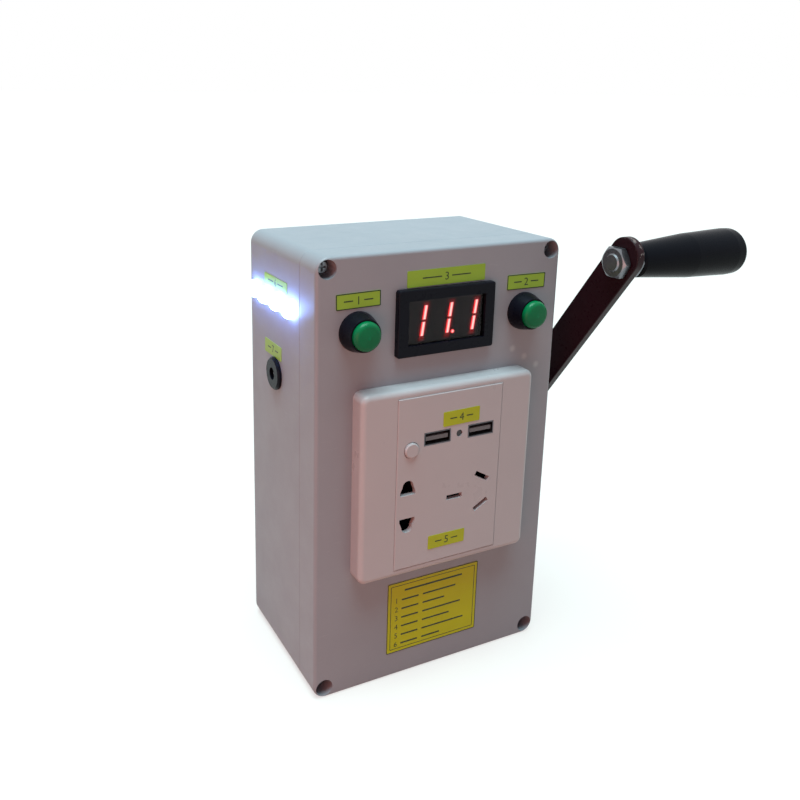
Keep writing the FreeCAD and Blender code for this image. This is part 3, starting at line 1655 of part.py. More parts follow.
enclosure_base()
enclosure_lid()
lid_gasket()
lid_screws()
machine_screws()
meter_housing()
meter_window()
meter_display()
meter_digits()
push_button("left", -1)
push_button("right", 1)
socket_frame()
socket_insert()
socket_housing()
socket_contacts()
socket_screws()
usb_sockets()
usb_board()
usb_indicator()
usb_button_cap()
lamp_row()
dc_jack()
crank_bushing()
crank_shaft()
crank_hub()
crank_arm()
crank_nuts()
handle_spindle()
handle_grip()
grip_retainer()
crank_gear()
idler_gear()
rotor_pinion()
idler_shaft()
gearbox_frame()
generator()
battery()
inverter()
doc.recompute()

for item in doc.Objects:
    if "Invalid" in item.State or "Error" in item.State:
        raise RuntimeError(f"{item.Name} ({item.Label}) failed: {item.State}")
for item in nodes:
    if item.Shape.isNull() or not item.Shape.isValid() or not item.Shape.Solids:
        raise RuntimeError(f"{item.Label} has no valid solid")

os.makedirs("parts", exist_ok=True)
for item in nodes:
    item.Shape.exportStep(f"parts/{item.Label}.step")
print(len(nodes), "sub-parts written")
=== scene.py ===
import json
import math

import bpy
import numpy as np
from mathutils import Euler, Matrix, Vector


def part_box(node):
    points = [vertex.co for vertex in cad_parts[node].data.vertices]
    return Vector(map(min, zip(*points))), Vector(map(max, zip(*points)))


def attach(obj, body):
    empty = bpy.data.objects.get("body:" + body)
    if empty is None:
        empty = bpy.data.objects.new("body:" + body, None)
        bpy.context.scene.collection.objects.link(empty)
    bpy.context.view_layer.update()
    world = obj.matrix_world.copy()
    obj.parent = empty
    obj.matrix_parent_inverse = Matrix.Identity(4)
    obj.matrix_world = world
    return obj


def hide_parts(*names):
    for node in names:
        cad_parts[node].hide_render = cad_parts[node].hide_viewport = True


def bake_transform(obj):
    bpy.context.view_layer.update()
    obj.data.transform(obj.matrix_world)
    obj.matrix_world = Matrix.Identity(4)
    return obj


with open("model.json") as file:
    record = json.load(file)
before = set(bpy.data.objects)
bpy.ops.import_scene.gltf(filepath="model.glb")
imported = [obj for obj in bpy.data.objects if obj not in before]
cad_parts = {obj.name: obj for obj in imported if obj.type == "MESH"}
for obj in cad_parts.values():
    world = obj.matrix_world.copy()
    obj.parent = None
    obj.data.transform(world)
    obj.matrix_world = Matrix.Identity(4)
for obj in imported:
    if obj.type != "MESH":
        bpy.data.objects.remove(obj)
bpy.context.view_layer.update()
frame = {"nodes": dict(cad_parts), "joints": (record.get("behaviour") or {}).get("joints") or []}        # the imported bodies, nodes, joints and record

mm = 0.001
noiseSpan = {"From_Min": 0.3, "From_Max": 0.7}  # where nearly all of a noise's values lie
colourMix = {"data_type": "RGBA"}
sharpFrom = 30.0        # degrees between two faces of a new piece that shade apart
nodes = frame["nodes"]

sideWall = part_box("enclosure_base")[0].x
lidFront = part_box("enclosure_lid")[0].y
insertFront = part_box("socket_insert")[0].y

cameraFacts = {
    "place": (-0.192342, -0.328408, 0.264250),
    "turn": (75.8129, -0.6404, -25.9973),  # degrees about x, y, z
    "lens": 38.0114,
    "sensor": 36.0,
    "shift": (0.075, -0.125),
    "near": 0.01,
}

lampFacts = {
    # a wide soft overhead light and a warm panel in front on the left
    "sky": {"towards": (-0.08, -0.07, 0.99), "colour": "#d3faff", "energy": 4.9, "soft": 44.0},
    "panel": {"place": (-0.28, -0.22, 0.13), "aim": (-0.05, 0.0, 0.04), "size": 0.26,
              "colour": "#ff8466", "energy": 0.36},
}

floorFacts = {
    "size": 60.0,
    "colour": "#ad7f71",   # what the object gets back from it
    "shown": "#9c9590",    # its own share in the picture, which carries the shadow
    "glow": 0.64,          # lifts it to white there
}

worldFacts = {"fill": "#dfe6f2", "strength": 0.24, "shown": 1.0}


def linear(colour):
    # sRGB hex to linear red, green, blue and 1
    parts = [int(colour[i:i + 2], 16) / 255 for i in (1, 3, 5)]
    return [p / 12.92 if p <= 0.04045 else ((p + 0.055) / 1.055) ** 2.4 for p in parts] + [1.0]


def feed(tree, node, **links):
    # each input by its name or as i and its number: a constant, a node whose first
    # output goes there, or a socket
    for name, value in links.items():
        key = int(name[1:]) if name[0] == "i" and name[1:].isdigit() else name.replace("_", " ")
        source = value.outputs[0] if isinstance(value, bpy.types.Node) else value
        if isinstance(source, bpy.types.NodeSocket):
            tree.links.new(source, node.inputs[key])
        else:
            node.inputs[key].default_value = source


def add(tree, kind, settings=None, **links):
    # one node with its settings and links
    made = tree.nodes.new(kind)
    for name, value in (settings or {}).items():
        setattr(made, name, value)
    feed(tree, made, **links)
    return made


def shown(item):
    bpy.context.scene.collection.objects.link(item)
    return item


def makeCamera():
    data = bpy.data.cameras.new("camera")
    data.lens = cameraFacts["lens"]
    data.sensor_width = cameraFacts["sensor"]
    data.sensor_fit = "HORIZONTAL"
    data.shift_x, data.shift_y = cameraFacts["shift"]
    data.clip_start = cameraFacts["near"]
    camera = shown(bpy.data.objects.new("camera", data))
    camera.location = cameraFacts["place"]
    camera.rotation_euler = Euler([math.radians(a) for a in cameraFacts["turn"]])
    bpy.context.scene.camera = camera


def makeLamp(name, facts):
    # a far soft disc where it has a direction, else a square panel at its place
    far = "towards" in facts
    data = bpy.data.lights.new(name + "Lamp", "SUN" if far else "AREA")
    data.energy = facts["energy"]
    data.color = linear(facts["colour"])[:3]
    lamp = shown(bpy.data.objects.new(name + "Lamp", data))
    if far:
        data.angle = math.radians(facts["soft"])
        towards = Vector(facts["towards"])
    else:
        data.size = facts["size"]
        lamp.location = facts["place"]
        towards = Vector(facts["place"]) - Vector(facts["aim"])
        lamp.visible_camera = False
    lamp.rotation_euler = towards.to_track_quat("Z", "Y").to_euler()


def seenDirectly(tree):
    # 1 for rays from the camera and for those that a gloss or a pane sends on
    path = add(tree, "ShaderNodeLightPath")
    first = add(tree, "ShaderNodeMath", {"operation": "MAXIMUM"},
                i0=path.outputs["Is Camera Ray"], i1=path.outputs["Is Glossy Ray"])
    return add(tree, "ShaderNodeMath", {"operation": "MAXIMUM"}, i0=first,
               i1=path.outputs["Is Transmission Ray"])


def makeFloor():
    half = floorFacts["size"] / 2
    mesh = bpy.data.meshes.new("floor")
    mesh.from_pydata([(-half, -half, 0), (half, -half, 0), (half, half, 0), (-half, half, 0)],
                     [], [(0, 1, 2, 3)])
    floor = shown(bpy.data.objects.new("floor", mesh))
    material = bpy.data.materials.new("paleFloor")
    material.use_nodes = True
    tree = material.node_tree
    tree.nodes.clear()
    lit = add(tree, "ShaderNodeBsdfDiffuse", Color=linear(floorFacts["colour"]))
    shadowed = add(tree, "ShaderNodeBsdfDiffuse", Color=linear(floorFacts["shown"]))
    glow = add(tree, "ShaderNodeEmission", Strength=floorFacts["glow"])
    bright = add(tree, "ShaderNodeAddShader", i0=shadowed, i1=glow)
    chosen = add(tree, "ShaderNodeMixShader", i0=seenDirectly(tree), i1=lit, i2=bright)
    add(tree, "ShaderNodeOutputMaterial", Surface=chosen)
    mesh.materials.append(material)


def makeWorld():
    world = bpy.data.worlds.new("room")
    world.use_nodes = True
    tree = world.node_tree
    tree.nodes.clear()
    fill = add(tree, "ShaderNodeBackground", Color=linear(worldFacts["fill"]),
               Strength=worldFacts["strength"])
    white = add(tree, "ShaderNodeBackground", Color=(1, 1, 1, 1), Strength=worldFacts["shown"])
    chosen = add(tree, "ShaderNodeMixShader", i0=seenDirectly(tree), i1=fill, i2=white)
    add(tree, "ShaderNodeOutputWorld", Surface=chosen)
    bpy.context.scene.world = world
    bpy.context.scene.view_settings.view_transform = "Standard"


makeCamera()
for name, facts in lampFacts.items():
    makeLamp(name, facts)
makeFloor()
makeWorld()
print("camera, lamps and floor are in place")


# Sizes in the dictionaries of finishes are millimetres: patch is how far apart the slow
# changes of colour lie, grain the pitch of the surface texture and relief its depth.
# grain is mostly finer than a render shows, so it is drawn about three times too coarse.

plastics = {
    # ABS from a spark-eroded mould: an even fine grain that spreads every highlight
    "sparkTexturedAbs": {
        "slot": "grey_abs", "colour": "#97969d", "shade": "#8e8d94", "patch": 38.0,
        "rough": (0.42, 0.55), "grain": 0.55, "relief": 0.035, "ior": 1.53},
    # polycarbonate from a polished mould: tight highlights over a slow ripple of sink marks
    "polishedPolycarbonate": {
        "slot": "white_pc", "colour": "#bdb6b9", "shade": "#b5aeb1", "patch": 46.0,
        "rough": (0.27, 0.30), "grain": 2.6, "relief": 0.012, "ior": 1.58, "shine": 0.3},
    # black ABS from a bright mould: deep colour, semi-gloss
    "brightMouldBlackAbs": {
        "slot": "black_abs", "colour": "#0c0d15", "shade": "#12131d", "patch": 12.0,
        "rough": (0.24, 0.34), "grain": 0.8, "relief": 0.012, "ior": 1.53, "shine": 0.07},
    # glass-filled nylon: dull, with the fibres just under the skin
    "glassFilledNylon": {
        "slot": "housing_black", "colour": "#0f0f16", "shade": "#16151c", "patch": 12.0,
        "rough": (0.50, 0.62), "grain": 0.6, "relief": 0.02, "ior": 1.53, "shine": 0.05},
    # dyed acrylic cap: the colour sits below a polished skin
    "dyedAcrylicCap": {
        "slot": "green_plastic", "colour": "#027a48", "shade": "#02633a", "patch": 7.0,
        "rough": (0.20, 0.27), "grain": 1.4, "relief": 0.008, "ior": 1.49, "shine": 0.16,
        "deep": 0.12},
    # liquid crystal polymer, moulded matt: chalky and a little warm
    "matTonguePolymer": {
        "slot": "tongue_plastic", "colour": "#5f585b", "shade": "#544d50", "patch": 4.0,
        "rough": (0.45, 0.55), "grain": 0.5, "relief": 0.01, "ior": 1.6},
    # smoked polycarbonate light pipe, unlit
    "smokedLightPipe": {
        "slot": "indicator_smoked", "colour": "#2a2529", "shade": "#332d32", "patch": 2.0,
        "rough": (0.14, 0.22), "grain": 0.6, "relief": 0.006, "ior": 1.58, "shine": 0.3},
    # printed PVC sleeve shrunk on the cells: glossy, with faint draw lines
    "shrinkSleeve": {
        "slot": "cell_sleeve", "colour": "#1f4f86", "shade": "#1a4475", "patch": 14.0,
        "rough": (0.25, 0.35), "grain": 3.0, "relief": 0.02, "ior": 1.54},
    # solder resist over woven glass: a thin gloss that follows the weave
    "solderResist": {
        "slot": "board_green", "colour": "#0f4a2b", "shade": "#0b3b22", "patch": 5.0,
        "rough": (0.28, 0.40), "grain": 1.2, "relief": 0.02, "ior": 1.55},
    # extruded nitrile cord: dull black
    "nitrileRubber": {
        "slot": "seal_rubber", "colour": "#161616", "shade": "#202020", "patch": 6.0,
        "rough": (0.75, 0.85), "grain": 0.5, "relief": 0.03, "ior": 1.5},
    # pressed and sintered ferrite: dark grey, slightly granular
    "sinteredFerrite": {
        "slot": "ferrite", "colour": "#28282b", "shade": "#313134", "patch": 5.0,
        "rough": (0.55, 0.70), "grain": 0.4, "relief": 0.04, "ior": 1.6},
    # thermoset turned and buffed: near black, with an even gloss
    "buffedPhenolic": {
        "slot": "grip_bakelite", "colour": "#090b11", "shade": "#0e1017", "patch": 16.0,
        "rough": (0.24, 0.30), "grain": 1.8, "relief": 0.004, "ior": 1.6, "shine": 0.04},
}

metals = {
    # bright zinc plate: greyish, with a faint crystal mottle
    "zincPlatedSteel": {
        "slot": "zinc_steel", "colour": "#85888d", "shade": "#6b6e73", "patch": 1.6,
        "rough": (0.26, 0.42)},
    # strip brass, punched and bent
    "punchedBrass": {
        "slot": "contact_brass", "colour": "#c79f55", "shade": "#b28b45", "patch": 3.0,
        "rough": (0.25, 0.38)},
    # drawn wire and strip, oiled
    "springSteel": {
        "slot": "spring_steel", "colour": "#8a8b8e", "shade": "#77787b", "patch": 2.0,
        "rough": (0.25, 0.35)},
    # nickel plate over a folded steel shell, dull, its colour darkened as painted shade inside the
    # sockets
    "shadeDarkenedNickelPlate": {
        "slot": "shell_steel", "colour": "#6d686c", "shade": "#5c575b", "patch": 3.0,
        "rough": (0.34, 0.46)},
    # pressed bronze powder: open pores hold oil
    "sinteredBronze": {
        "slot": "bush_bronze", "colour": "#94734a", "shade": "#7f623e", "patch": 0.8,
        "rough": (0.45, 0.60)},
    # centreless ground bar
    "groundSteel": {
        "slot": "shaft_steel", "colour": "#8d8e91", "shade": "#808184", "patch": 3.0,
        "rough": (0.20, 0.32)},
    # cold rolled sheet
    "rolledSteel": {
        "slot": "plate_steel", "colour": "#9a9b9d", "shade": "#88898b", "patch": 9.0,
        "rough": (0.30, 0.45)},
    # stacked and varnished laminations
    "laminatedSteel": {
        "slot": "armature_steel", "colour": "#6f7073", "shade": "#606164", "patch": 3.0,
        "rough": (0.40, 0.50)},
    # extruded and left plain
    "extrudedAluminium": {
        "slot": "sink_aluminium", "colour": "#b3b4b6", "shade": "#a4a5a8", "patch": 7.0,
        "rough": (0.30, 0.42)},
}

films = {
    # printed paper tape under a clear laminate: flat colour below a soft gloss
    "laminatedTape": {"colour": "#9abd3c", "shade": "#8fb235", "patch": 9.0,
                      "rough": (0.30, 0.40)},
    "yellowTape": {"colour": "#b4bd20", "shade": "#a8b11b", "patch": 9.0, "rough": (0.30, 0.40)},
    # vinyl sheet label
    "vinylLabel": {"colour": "#c6c806", "shade": "#babb05", "patch": 16.0,
                   "rough": (0.32, 0.42)},
    # thermal transfer ink
    "transferInk": {"colour": "#26331a", "shade": "#303d20", "patch": 2.0,
                    "rough": (0.40, 0.50)},
}


def freshMaterial(name):
    material = bpy.data.materials.new(name)
    material.use_nodes = True
    tree = material.node_tree
    tree.nodes.clear()
    shader = add(tree, "ShaderNodeBsdfPrincipled")
    add(tree, "ShaderNodeOutputMaterial", Surface=shader)
    where = add(tree, "ShaderNodeTexCoord").outputs["Object"]
    return material, tree, shader, where


def perMetre(size):
    # noise scale whose features are that many millimetres across
    return 1 / (size * mm)


def mottled(tree, where, facts):
    # the two colours in soft patches
    patches = add(tree, "ShaderNodeTexNoise", Vector=where, Scale=perMetre(facts["patch"]),
                  Detail=3.0, Roughness=0.55)
    return add(tree, "ShaderNodeMix", colourMix, i0=patches, i6=linear(facts["colour"]),
               i7=linear(facts["shade"])).outputs[2]


def uneven(tree, shader, grain, rough, strength, depth):
    # one noise sets how rough each spot is, and raises it by up to the depth
    low, high = rough
    spread = add(tree, "ShaderNodeMapRange", Value=grain, **noiseSpan, To_Min=low, To_Max=high)
    bump = add(tree, "ShaderNodeBump", Strength=strength, Distance=depth * mm, Height=grain)
    feed(tree, shader, Roughness=spread, Normal=bump)


plasticFacts = {
    "handled": 0.4,             # pitch of the changes in gloss, as a share of patch
    "bump": 0.5,
    "reach": 1.5,               # how far light goes below the skin
    "share": (0.2, 1.0, 0.5),   # share of that for red, green and blue
}


def plastic(name, facts):
    material, tree, shader, where = freshMaterial(name)
    colour = mottled(tree, where, facts)
    # the grey case gets pale scuffs and painted glints
    if facts["slot"] == "grey_abs":
        colour = add(tree, "ShaderNodeMix", colourMix, i0=scuffsAndPaintedGlints(tree, where), i6=colour,
                     i7=linear(scuffAndGlintFacts["colour"])).outputs[2]
    handled = add(tree, "ShaderNodeTexNoise", Vector=where,
                  Scale=perMetre(facts["patch"] * plasticFacts["handled"]), Detail=5.0,
                  Roughness=0.7)
    low, high = facts["rough"]
    rough = add(tree, "ShaderNodeMapRange", Value=handled, **noiseSpan, To_Min=low, To_Max=high)
    grain = add(tree, "ShaderNodeTexNoise", Vector=where, Scale=perMetre(facts["grain"]),
                Detail=4.0, Roughness=0.6)
    bump = add(tree, "ShaderNodeBump", Strength=plasticFacts["bump"],
               Distance=facts["relief"] * mm, Height=grain)
    feed(tree, shader, Base_Color=colour, Roughness=rough, Normal=bump, IOR=facts["ior"],
         Specular_IOR_Level=facts.get("shine", 0.5))
    if "deep" in facts:
        feed(tree, shader, Subsurface_Weight=facts["deep"],
             Subsurface_Radius=plasticFacts["share"],
             Subsurface_Scale=plasticFacts["reach"] * mm)
    return material


scuffAndGlintFacts = {
    # painted glints: faint pale spots on the front, each about 3 mm across
    "colour": "#c4c6c8",
    "places": ((37.0, 151.2), (43.8, 146.7), (50.8, 142.0)),
    "radius": 2.0,
    "core": 0.3,            # share of the radius at which a mark starts to fade
    "share": 0.45,
    # fine scuffs all over, as short pale streaks
    "streak": (9.0, 9.0, 1.3),
    "streakFrom": (0.60, 0.72),
    "streakShare": 0.10,
}


def scuffsAndPaintedGlints(tree, where):
    # how much of the pale colour shows: painted glints as cones about their places, or scuffs as
    # thresholded streaks
    along = add(tree, "ShaderNodeMapping", Vector=where,
                Scale=[perMetre(size) for size in scuffAndGlintFacts["streak"]])
    streaks = add(tree, "ShaderNodeTexNoise", Vector=along, Scale=1.0, Detail=6.0, Roughness=0.7)
    low, high = scuffAndGlintFacts["streakFrom"]
    share = add(tree, "ShaderNodeMapRange", Value=streaks, From_Min=low, From_Max=high,
                To_Min=0.0, To_Max=scuffAndGlintFacts["streakShare"])
    radius = scuffAndGlintFacts["radius"] * mm
    for x, z in scuffAndGlintFacts["places"]:
        away = add(tree, "ShaderNodeVectorMath", {"operation": "DISTANCE"}, i0=where,
                   i1=(x * mm, lidFront, z * mm))
        # each painted glint fades out from its middle
        glint = add(tree, "ShaderNodeMapRange", Value=away.outputs["Value"],
                   From_Min=scuffAndGlintFacts["core"] * radius, From_Max=radius,
                   To_Min=scuffAndGlintFacts["share"], To_Max=0.0)
        share = add(tree, "ShaderNodeMath", {"operation": "MAXIMUM"}, i0=share, i1=glint)
    return share


metalFacts = {"grain": 0.3, "bump": 0.4, "relief": 0.01}    # its grain is a share of patch


def metal(name, facts):
    material, tree, shader, where = freshMaterial(name)
    grain = add(tree, "ShaderNodeTexNoise", Vector=where,
                Scale=perMetre(facts["patch"] * metalFacts["grain"]), Detail=5.0, Roughness=0.65)
    uneven(tree, shader, grain, facts["rough"], metalFacts["bump"], metalFacts["relief"])
    feed(tree, shader, Base_Color=mottled(tree, where, facts), Metallic=1.0)
    return material


filmFacts = {"fibre": 0.7, "bump": 0.35, "relief": 0.01, "shine": 0.25}


def film(name, facts):
    material, tree, shader, where = freshMaterial(name)
    fibre = add(tree, "ShaderNodeTexNoise", Vector=where, Scale=perMetre(filmFacts["fibre"]),
                Detail=4.0)
    uneven(tree, shader, fibre, facts["rough"], filmFacts["bump"], filmFacts["relief"])
    feed(tree, shader, Base_Color=mottled(tree, where, facts),
         Specular_IOR_Level=filmFacts["shine"])
    return material


armFacts = {
    # gloss enamel sprayed on a sawn steel bar: slight orange peel, and bare steel
    # where the paint has gone from the long edges
    "colour": "#230d13", "shade": "#2b1119", "bare": "#7c7674", "patch": 22.0,
    "rough": (0.26, 0.36), "shine": 0.12,
    "peel": 1.3, "bump": 0.5, "relief": 0.015,
    "worn": 0.7,            # width of the stretch along the edges that chips
    "chip": 2.2, "chipped": (0.57, 0.62),
}


def sprayedEnamel():
    # distance from the arm's middle line: the point less its nearest point on the line
    # between the two pivots, without the part along the shaft
    pivots = {joint["name"]: joint for joint in frame["joints"]}
    start = Vector(pivots["crank_spin"]["pos_m"])
    reach = Vector(pivots["grip_spin"]["pos_m"]) - start
    reach.x = 0
    material, tree, shader, where = freshMaterial("sprayedEnamel")
    away = add(tree, "ShaderNodeVectorMath", {"operation": "SUBTRACT"}, i0=where, i1=start)
    flat = add(tree, "ShaderNodeVectorMath", {"operation": "MULTIPLY"}, i0=away, i1=(0, 1, 1))
    along = add(tree, "ShaderNodeVectorMath", {"operation": "DOT_PRODUCT"}, i0=flat,
                i1=reach / reach.length_squared)
    held = add(tree, "ShaderNodeClamp", i0=along.outputs["Value"])
    nearest = add(tree, "ShaderNodeVectorMath", {"operation": "SCALE"}, i0=reach, Scale=held)
    fromLine = add(tree, "ShaderNodeVectorMath", {"operation": "DISTANCE"}, i0=flat, i1=nearest)
    edge = (start + reach).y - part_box("crank_arm")[0].y  # half the arm's width at the grip
    rim = add(tree, "ShaderNodeMapRange", Value=fromLine.outputs["Value"],
              From_Min=edge - armFacts["worn"] * mm, From_Max=edge)
    chips = add(tree, "ShaderNodeTexNoise", Vector=where, Scale=perMetre(armFacts["chip"]),
                Detail=5.0, Roughness=0.7)
    loose = add(tree, "ShaderNodeMath", {"operation": "MULTIPLY"}, i0=rim, i1=chips)
    low, high = armFacts["chipped"]
    chipped = add(tree, "ShaderNodeMapRange", Value=loose, From_Min=low, From_Max=high)
    colour = add(tree, "ShaderNodeMix", colourMix, i0=chipped,
                 i6=mottled(tree, where, armFacts), i7=linear(armFacts["bare"]))
    peel = add(tree, "ShaderNodeTexNoise", Vector=where, Scale=perMetre(armFacts["peel"]),
               Detail=3.0)
    uneven(tree, shader, peel, armFacts["rough"], armFacts["bump"], armFacts["relief"])
    feed(tree, shader, Base_Color=colour.outputs[2], Metallic=chipped,
         Specular_IOR_Level=armFacts["shine"])
    return material


displayFacts = {
    "pitch": 12.7, "slant": 8.0, "stroke": 1.7, "tall": 14.2,
    "point": 4.4,                   # x of the lit point's middle
    "core": "#fff4e6", "coreStrength": 3.2,
    "rim": "#ff1c22", "rimStrength": 3.4,
    "fade": (0.10, 0.46),           # from core to rim, as shares of the stroke
    "face": "#0b0709", "rough": 0.55, "shine": 0.2,
    "grain": 0.5, "bump": 0.4, "relief": 0.01,
    # painted red glow on the face round the lit bars
    "paintedGlow": "#ff1e26", "paintedGlowStrength": 0.5, "paintedGlowReach": 2.6,
    "paintedGlowEnds": (0.48, 0.62),      # where it fades, as shares of the figure's height
}


def fromStroke(tree, where):
    # distance across from the nearest lit stroke: x less the slant's share of the height,
    # folded over the pitch of the figures; and the distance up or down from their middle
    low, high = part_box("meter_digits")
    lean = math.tan(math.radians(displayFacts["slant"]))
    middle = (low.z + high.z) / 2
    first = low.x + displayFacts["stroke"] * mm / 2 + lean * (middle - low.z)
    half = displayFacts["pitch"] * mm / 2
    parts = add(tree, "ShaderNodeSeparateXYZ", Vector=where)
    above = add(tree, "ShaderNodeMath", {"operation": "SUBTRACT"}, i0=parts.outputs["Z"],
                i1=middle)
    leaned = add(tree, "ShaderNodeMath", {"operation": "MULTIPLY"}, i0=above, i1=lean)
    straight = add(tree, "ShaderNodeMath", {"operation": "SUBTRACT"}, i0=parts.outputs["X"],
                   i1=leaned)
    past = add(tree, "ShaderNodeMath", {"operation": "SUBTRACT"}, i0=straight, i1=first)
    folded = add(tree, "ShaderNodeMath", {"operation": "WRAP"}, i0=past, i1=half, i2=-half)
    return [add(tree, "ShaderNodeMath", {"operation": "ABSOLUTE"}, i0=value)
            for value in (folded, above)]


def litSegments():
    # diffused LED bars: almost white along the middle, red at the rim
    material, tree, shader, where = freshMaterial("litSegments")
    across = fromStroke(tree, where)[0]
    stroke = displayFacts["stroke"] * mm
    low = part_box("meter_digits")[0]
    fromDot = add(tree, "ShaderNodeVectorMath", {"operation": "DISTANCE"}, i0=where,
                  i1=(displayFacts["point"] * mm, low.y, low.z + stroke / 2))
    nearest = add(tree, "ShaderNodeMath", {"operation": "MINIMUM"}, i0=across,
                  i1=fromDot.outputs["Value"])
    core, rim = (share * stroke for share in displayFacts["fade"])
    share = add(tree, "ShaderNodeMapRange", Value=nearest, From_Min=core, From_Max=rim)
    colour = add(tree, "ShaderNodeMix", colourMix, i0=share, i6=linear(displayFacts["core"]),
                 i7=linear(displayFacts["rim"]))
    strength = add(tree, "ShaderNodeMapRange", Value=share,
                   To_Min=displayFacts["coreStrength"], To_Max=displayFacts["rimStrength"])
    feed(tree, shader, Base_Color=linear(displayFacts["rim"]),
         Emission_Color=colour.outputs[2], Emission_Strength=strength)
    return material


def faceAndPaintedGlow():
    # matt black epoxy, with a painted red glow beside each bar
    material, tree, shader, where = freshMaterial("castDisplayFaceAndPaintedGlow")
    across, above = fromStroke(tree, where)
    near = add(tree, "ShaderNodeMapRange", Value=across, From_Min=displayFacts["stroke"] * mm / 2,
               From_Max=displayFacts["paintedGlowReach"] * mm, To_Min=1.0, To_Max=0.0)
    inner, outer = (share * displayFacts["tall"] * mm for share in displayFacts["paintedGlowEnds"])
    level = add(tree, "ShaderNodeMapRange", Value=above, From_Min=inner, From_Max=outer,
                To_Min=1.0, To_Max=0.0)
    # painted glow: strongest beside each bar, gone at its reach and above and below the figures
    paintedGlow = add(tree, "ShaderNodeMath", {"operation": "MULTIPLY"}, i0=near, i1=near)
    for factor in (level, displayFacts["paintedGlowStrength"]):
        paintedGlow = add(tree, "ShaderNodeMath", {"operation": "MULTIPLY"}, i0=paintedGlow, i1=factor)
    grain = add(tree, "ShaderNodeTexNoise", Vector=where, Scale=perMetre(displayFacts["grain"]),
                Detail=3.0)
    bump = add(tree, "ShaderNodeBump", Strength=displayFacts["bump"],
               Distance=displayFacts["relief"] * mm, Height=grain)
    feed(tree, shader, Base_Color=linear(displayFacts["face"]), Roughness=displayFacts["rough"],
         Specular_IOR_Level=displayFacts["shine"], Normal=bump,
         Emission_Color=linear(displayFacts["paintedGlow"]), Emission_Strength=paintedGlow)
    return material


lensFacts = {"colour": "#86acff", "strength": 32.0, "uneven": 0.15, "patch": 2.0, "rough": 0.1}


def litEpoxy():
    # clear epoxy lens lit from inside, a little uneven where the chip throws its light
    material, tree, shader, where = freshMaterial("litEpoxy")
    wave = add(tree, "ShaderNodeTexNoise", Vector=where, Scale=perMetre(lensFacts["patch"]),
               Detail=2.0)
    weak, strong = (lensFacts["strength"] * (1 + side * lensFacts["uneven"]) for side in (-1, 1))
    strength = add(tree, "ShaderNodeMapRange", Value=wave, **noiseSpan, To_Min=weak,
                   To_Max=strong)
    feed(tree, shader, Base_Color=linear(lensFacts["colour"]), Roughness=lensFacts["rough"],
         Emission_Color=linear(lensFacts["colour"]), Emission_Strength=strength)
    return material


paneFacts = {
    "colour": "#a58c92", "rough": 0.04, "ripple": 14.0, "bump": 0.2, "relief": 0.01,
    "ior": 1.24,        # under acrylic's 1.49, for the anti-glare coat on both faces
}


def dyedAcrylicPane():
    # cast acrylic, dyed through, with a slow ripple in its face
    material, tree, shader, where = freshMaterial("dyedAcrylicPane")
    wave = add(tree, "ShaderNodeTexNoise", Vector=where, Scale=perMetre(paneFacts["ripple"]),
               Detail=2.0)
    bump = add(tree, "ShaderNodeBump", Strength=paneFacts["bump"],
               Distance=paneFacts["relief"] * mm, Height=wave)
    feed(tree, shader, Base_Color=linear(paneFacts["colour"]), Roughness=paneFacts["rough"],
         IOR=paneFacts["ior"], Normal=bump, Transmission_Weight=1.0)
    return material


filmFinishes = {name: film(name, facts) for name, facts in films.items()}
bySlot = {"arm_paint": sprayedEnamel(), "digit_red": litSegments(),
          "display_black": faceAndPaintedGlow(), "lamp_lens": litEpoxy(),
          "meter_pane": dyedAcrylicPane()}
for family, make in ((plastics, plastic), (metals, metal)):
    for name, facts in family.items():
        bySlot[facts["slot"]] = make(name, facts)
for item in nodes.values():
    item.data.materials[0] = bySlot[item.data.materials[0].name.split(".")[0]]
print("finishes made:", len(bySlot) + len(filmFinishes))


def bandShape(grid):
    # rows of points that run round, each cell a quad, with a fan about the mean point
    # of the first and of the last row: points, corner indices and sizes of the faces
    rows, columns = grid.shape[:2]
    i, j = np.meshgrid(np.arange(rows - 1), np.arange(columns), indexing="ij")
    k = (j + 1) % columns
    quads = np.stack([i * columns + j, i * columns + k, (i + 1) * columns + k,
                      (i + 1) * columns + j], -1)
    edge = np.arange(columns)
    after = (edge + 1) % columns
    last = (rows - 1) * columns
    points = np.vstack([grid.reshape(-1, 3), grid[0].mean(0), grid[-1].mean(0)])
    foot = np.stack([after, edge, np.full(columns, rows * columns)], -1)
    head = np.stack([last + edge, last + after, np.full(columns, rows * columns + 1)], -1)
    corners = np.concatenate([quads.ravel(), foot.ravel(), head.ravel()])
    sizes = np.concatenate([np.full(i.size, 4), np.full(2 * columns, 3)])
    return points, corners, sizes


def ringShape(grid):
    # rows that run round and close on themselves too, as on a frame's border
    rows, columns = grid.shape[:2]
    i, j = np.meshgrid(np.arange(rows), np.arange(columns), indexing="ij")
    n, k = (i + 1) % rows, (j + 1) % columns
    quads = np.stack([i * columns + j, i * columns + k, n * columns + k, n * columns + j], -1)
    return grid.reshape(-1, 3), quads.ravel(), np.full(i.size, 4)


def merged(shapes):
    # several shapes as one: their points in turn, and indices moved on past those before
    points, corners, sizes = zip(*shapes)
    starts = np.cumsum([0] + [len(part) for part in points])
    return (np.vstack(points),
            np.concatenate([part + start for part, start in zip(corners, starts)]),
            np.concatenate(sizes))


def piece(name, shape, finish, body=None):
    # a shape as an object, which rides on the body if one is given
    points, corners, sizes = shape
    mesh = bpy.data.meshes.new(name)
    mesh.vertices.add(len(points))
    mesh.vertices.foreach_set("co", points.ravel())
    mesh.loops.add(len(corners))
    mesh.loops.foreach_set("vertex_index", corners)
    mesh.polygons.add(len(sizes))
    mesh.polygons.foreach_set("loop_start", np.cumsum(sizes) - sizes)
    mesh.polygons.foreach_set("use_smooth", np.ones(len(sizes), bool))
    mesh.update(calc_edges=True)
    mesh.set_sharp_from_angle(angle=math.radians(sharpFrom))
    mesh.materials.append(finish)
    item = shown(bpy.data.objects.new(name, mesh))
    if body:
        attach(item, body)
    return item


